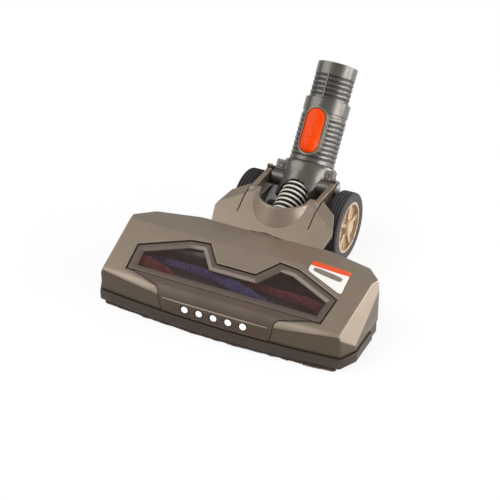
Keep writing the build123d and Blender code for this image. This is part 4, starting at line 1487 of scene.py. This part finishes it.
@dataclass
class Studio:
    """Camera, lamps, floor and surroundings, in metres and degrees."""

    azimuth: float = 26.4
    elevation: float = 33.3
    distance: float = 1.229
    target: Point = (-0.00025, 0.0601, 0.0488)
    lens: float = 103.3
    sensor: float = 36.0
    floor_half: float = 60.0
    floor_z: float = -0.0002
    floor_dark: Colour = (0.48, 0.48, 0.48)
    floor_pale: Colour = (0.52, 0.52, 0.52)
    floor_glow: float = 1.3
    floor_share: float = 0.62
    aim: Point = (0.0, 0.08, 0.05)
    lamps: tuple[SoftBox, ...] = (
        SoftBox("right_front", (1.3, -0.15, 0.36), (1.0, 0.6), 15.0),
        SoftBox("right_back", (1.1, 0.85, 0.28), (0.8, 0.55), 15.0),
        SoftBox("front_top", (-1.25, -0.55, 1.35), (1.9, 1.5), 28.0),
    )
    sky_low: float = 0.32
    sky_high: float = 0.5

    def build(self) -> None:
        """Set up everything round the object."""
        scene = bpy.context.scene
        scene.view_settings.view_transform = "Standard"
        self.build_camera(scene)
        self.build_floor(scene)
        for lamp in self.lamps:
            lamp.hang(scene, self.aim)
        self.build_world(scene)

    def build_camera(self, scene: bpy.types.Scene) -> None:
        """Stand the camera at the photograph's angle.

        Args:
            scene: The scene to take the camera.
        """
        a, e = math.radians(self.azimuth), math.radians(self.elevation)
        back = Vector((math.sin(a) * math.cos(e), -math.cos(a) * math.cos(e), math.sin(e)))
        data = bpy.data.cameras.new("camera")
        data.sensor_width = self.sensor
        data.lens = self.lens
        camera = bpy.data.objects.new("camera", data)
        camera.location = Vector(self.target) + back * self.distance
        camera.rotation_euler = (-back).to_track_quat("-Z", "Y").to_euler()
        scene.collection.objects.link(camera)
        scene.camera = camera

    def build_floor(self, scene: bpy.types.Scene) -> None:
        """Lay a pale floor that keeps the object's shadow.

        Args:
            scene: The scene to take the floor.
        """
        half = self.floor_half
        corners = [(x, y, self.floor_z) for x, y in ((-half, -half), (half, -half), (half, half), (-half, half))]
        mesh = bpy.data.meshes.new("floor")
        mesh.from_pydata(corners, [], [(0, 1, 2, 3)])
        nodes = Nodes("pale_floor")
        grain = nodes.spread(nodes.noise(9.0, 3.0), 0.0, 1.0)
        nodes.feed("Base Color", nodes.mix(grain, self.floor_dark, self.floor_pale))
        nodes.feed("Roughness", 0.9)
        path = nodes.node("ShaderNodeLightPath").outputs
        seen = nodes.maths("ADD", path["Is Camera Ray"], path["Is Glossy Ray"])
        seen = nodes.maths("ADD", seen, path["Is Transmission Ray"], clamp=True)
        glow = nodes.node("ShaderNodeEmission", {"Color": (1.0, 1.0, 1.0, 1.0), "Strength": self.floor_glow})
        ends = {0: nodes.times(seen, self.floor_share), 1: nodes.shader.outputs[0], 2: glow.outputs[0]}
        blend = nodes.node("ShaderNodeMixShader", ends)
        nodes.tree.links.new(blend.outputs[0], nodes.tree.nodes["Material Output"].inputs["Surface"])
        mesh.materials.append(nodes.material)
        floor = bpy.data.objects.new("floor", mesh)
        scene.collection.objects.link(floor)

    def build_world(self, scene: bpy.types.Scene) -> None:
        """Surround the object with a soft grey that is paler overhead.

        Args:
            scene: The scene to take the world.
        """
        world = bpy.data.worlds.new("studio")
        world.use_nodes = True
        tree = world.node_tree
        place = tree.nodes.new("ShaderNodeTexCoord").outputs["Generated"]
        split = tree.nodes.new("ShaderNodeSeparateXYZ")
        tree.links.new(place, split.inputs[0])
        strength = tree.nodes.new("ShaderNodeMapRange")
        tree.links.new(split.outputs["Z"], strength.inputs["Value"])
        strength.inputs["To Min"].default_value = self.sky_low
        strength.inputs["To Max"].default_value = self.sky_high
        background = tree.nodes["Background"]
        background.inputs["Color"].default_value = (1.0, 1.0, 1.0, 1.0)
        tree.links.new(strength.outputs[0], background.inputs["Strength"])
        scene.world = world


def main() -> None:
    """Build the studio and every sub-assembly in order."""
    logging.basicConfig(level=logging.INFO, format="%(name)s: %(message)s")
    assemblies = (Studio(), HeadCase(), BrushRoller(), DriveGear(), WheelPair(), NeckElbow(), TubeSocket())
    for assembly in assemblies:
        LOG.info("building %s", type(assembly).__name__)
        assembly.build()


if __name__ == "__main__":
    main()
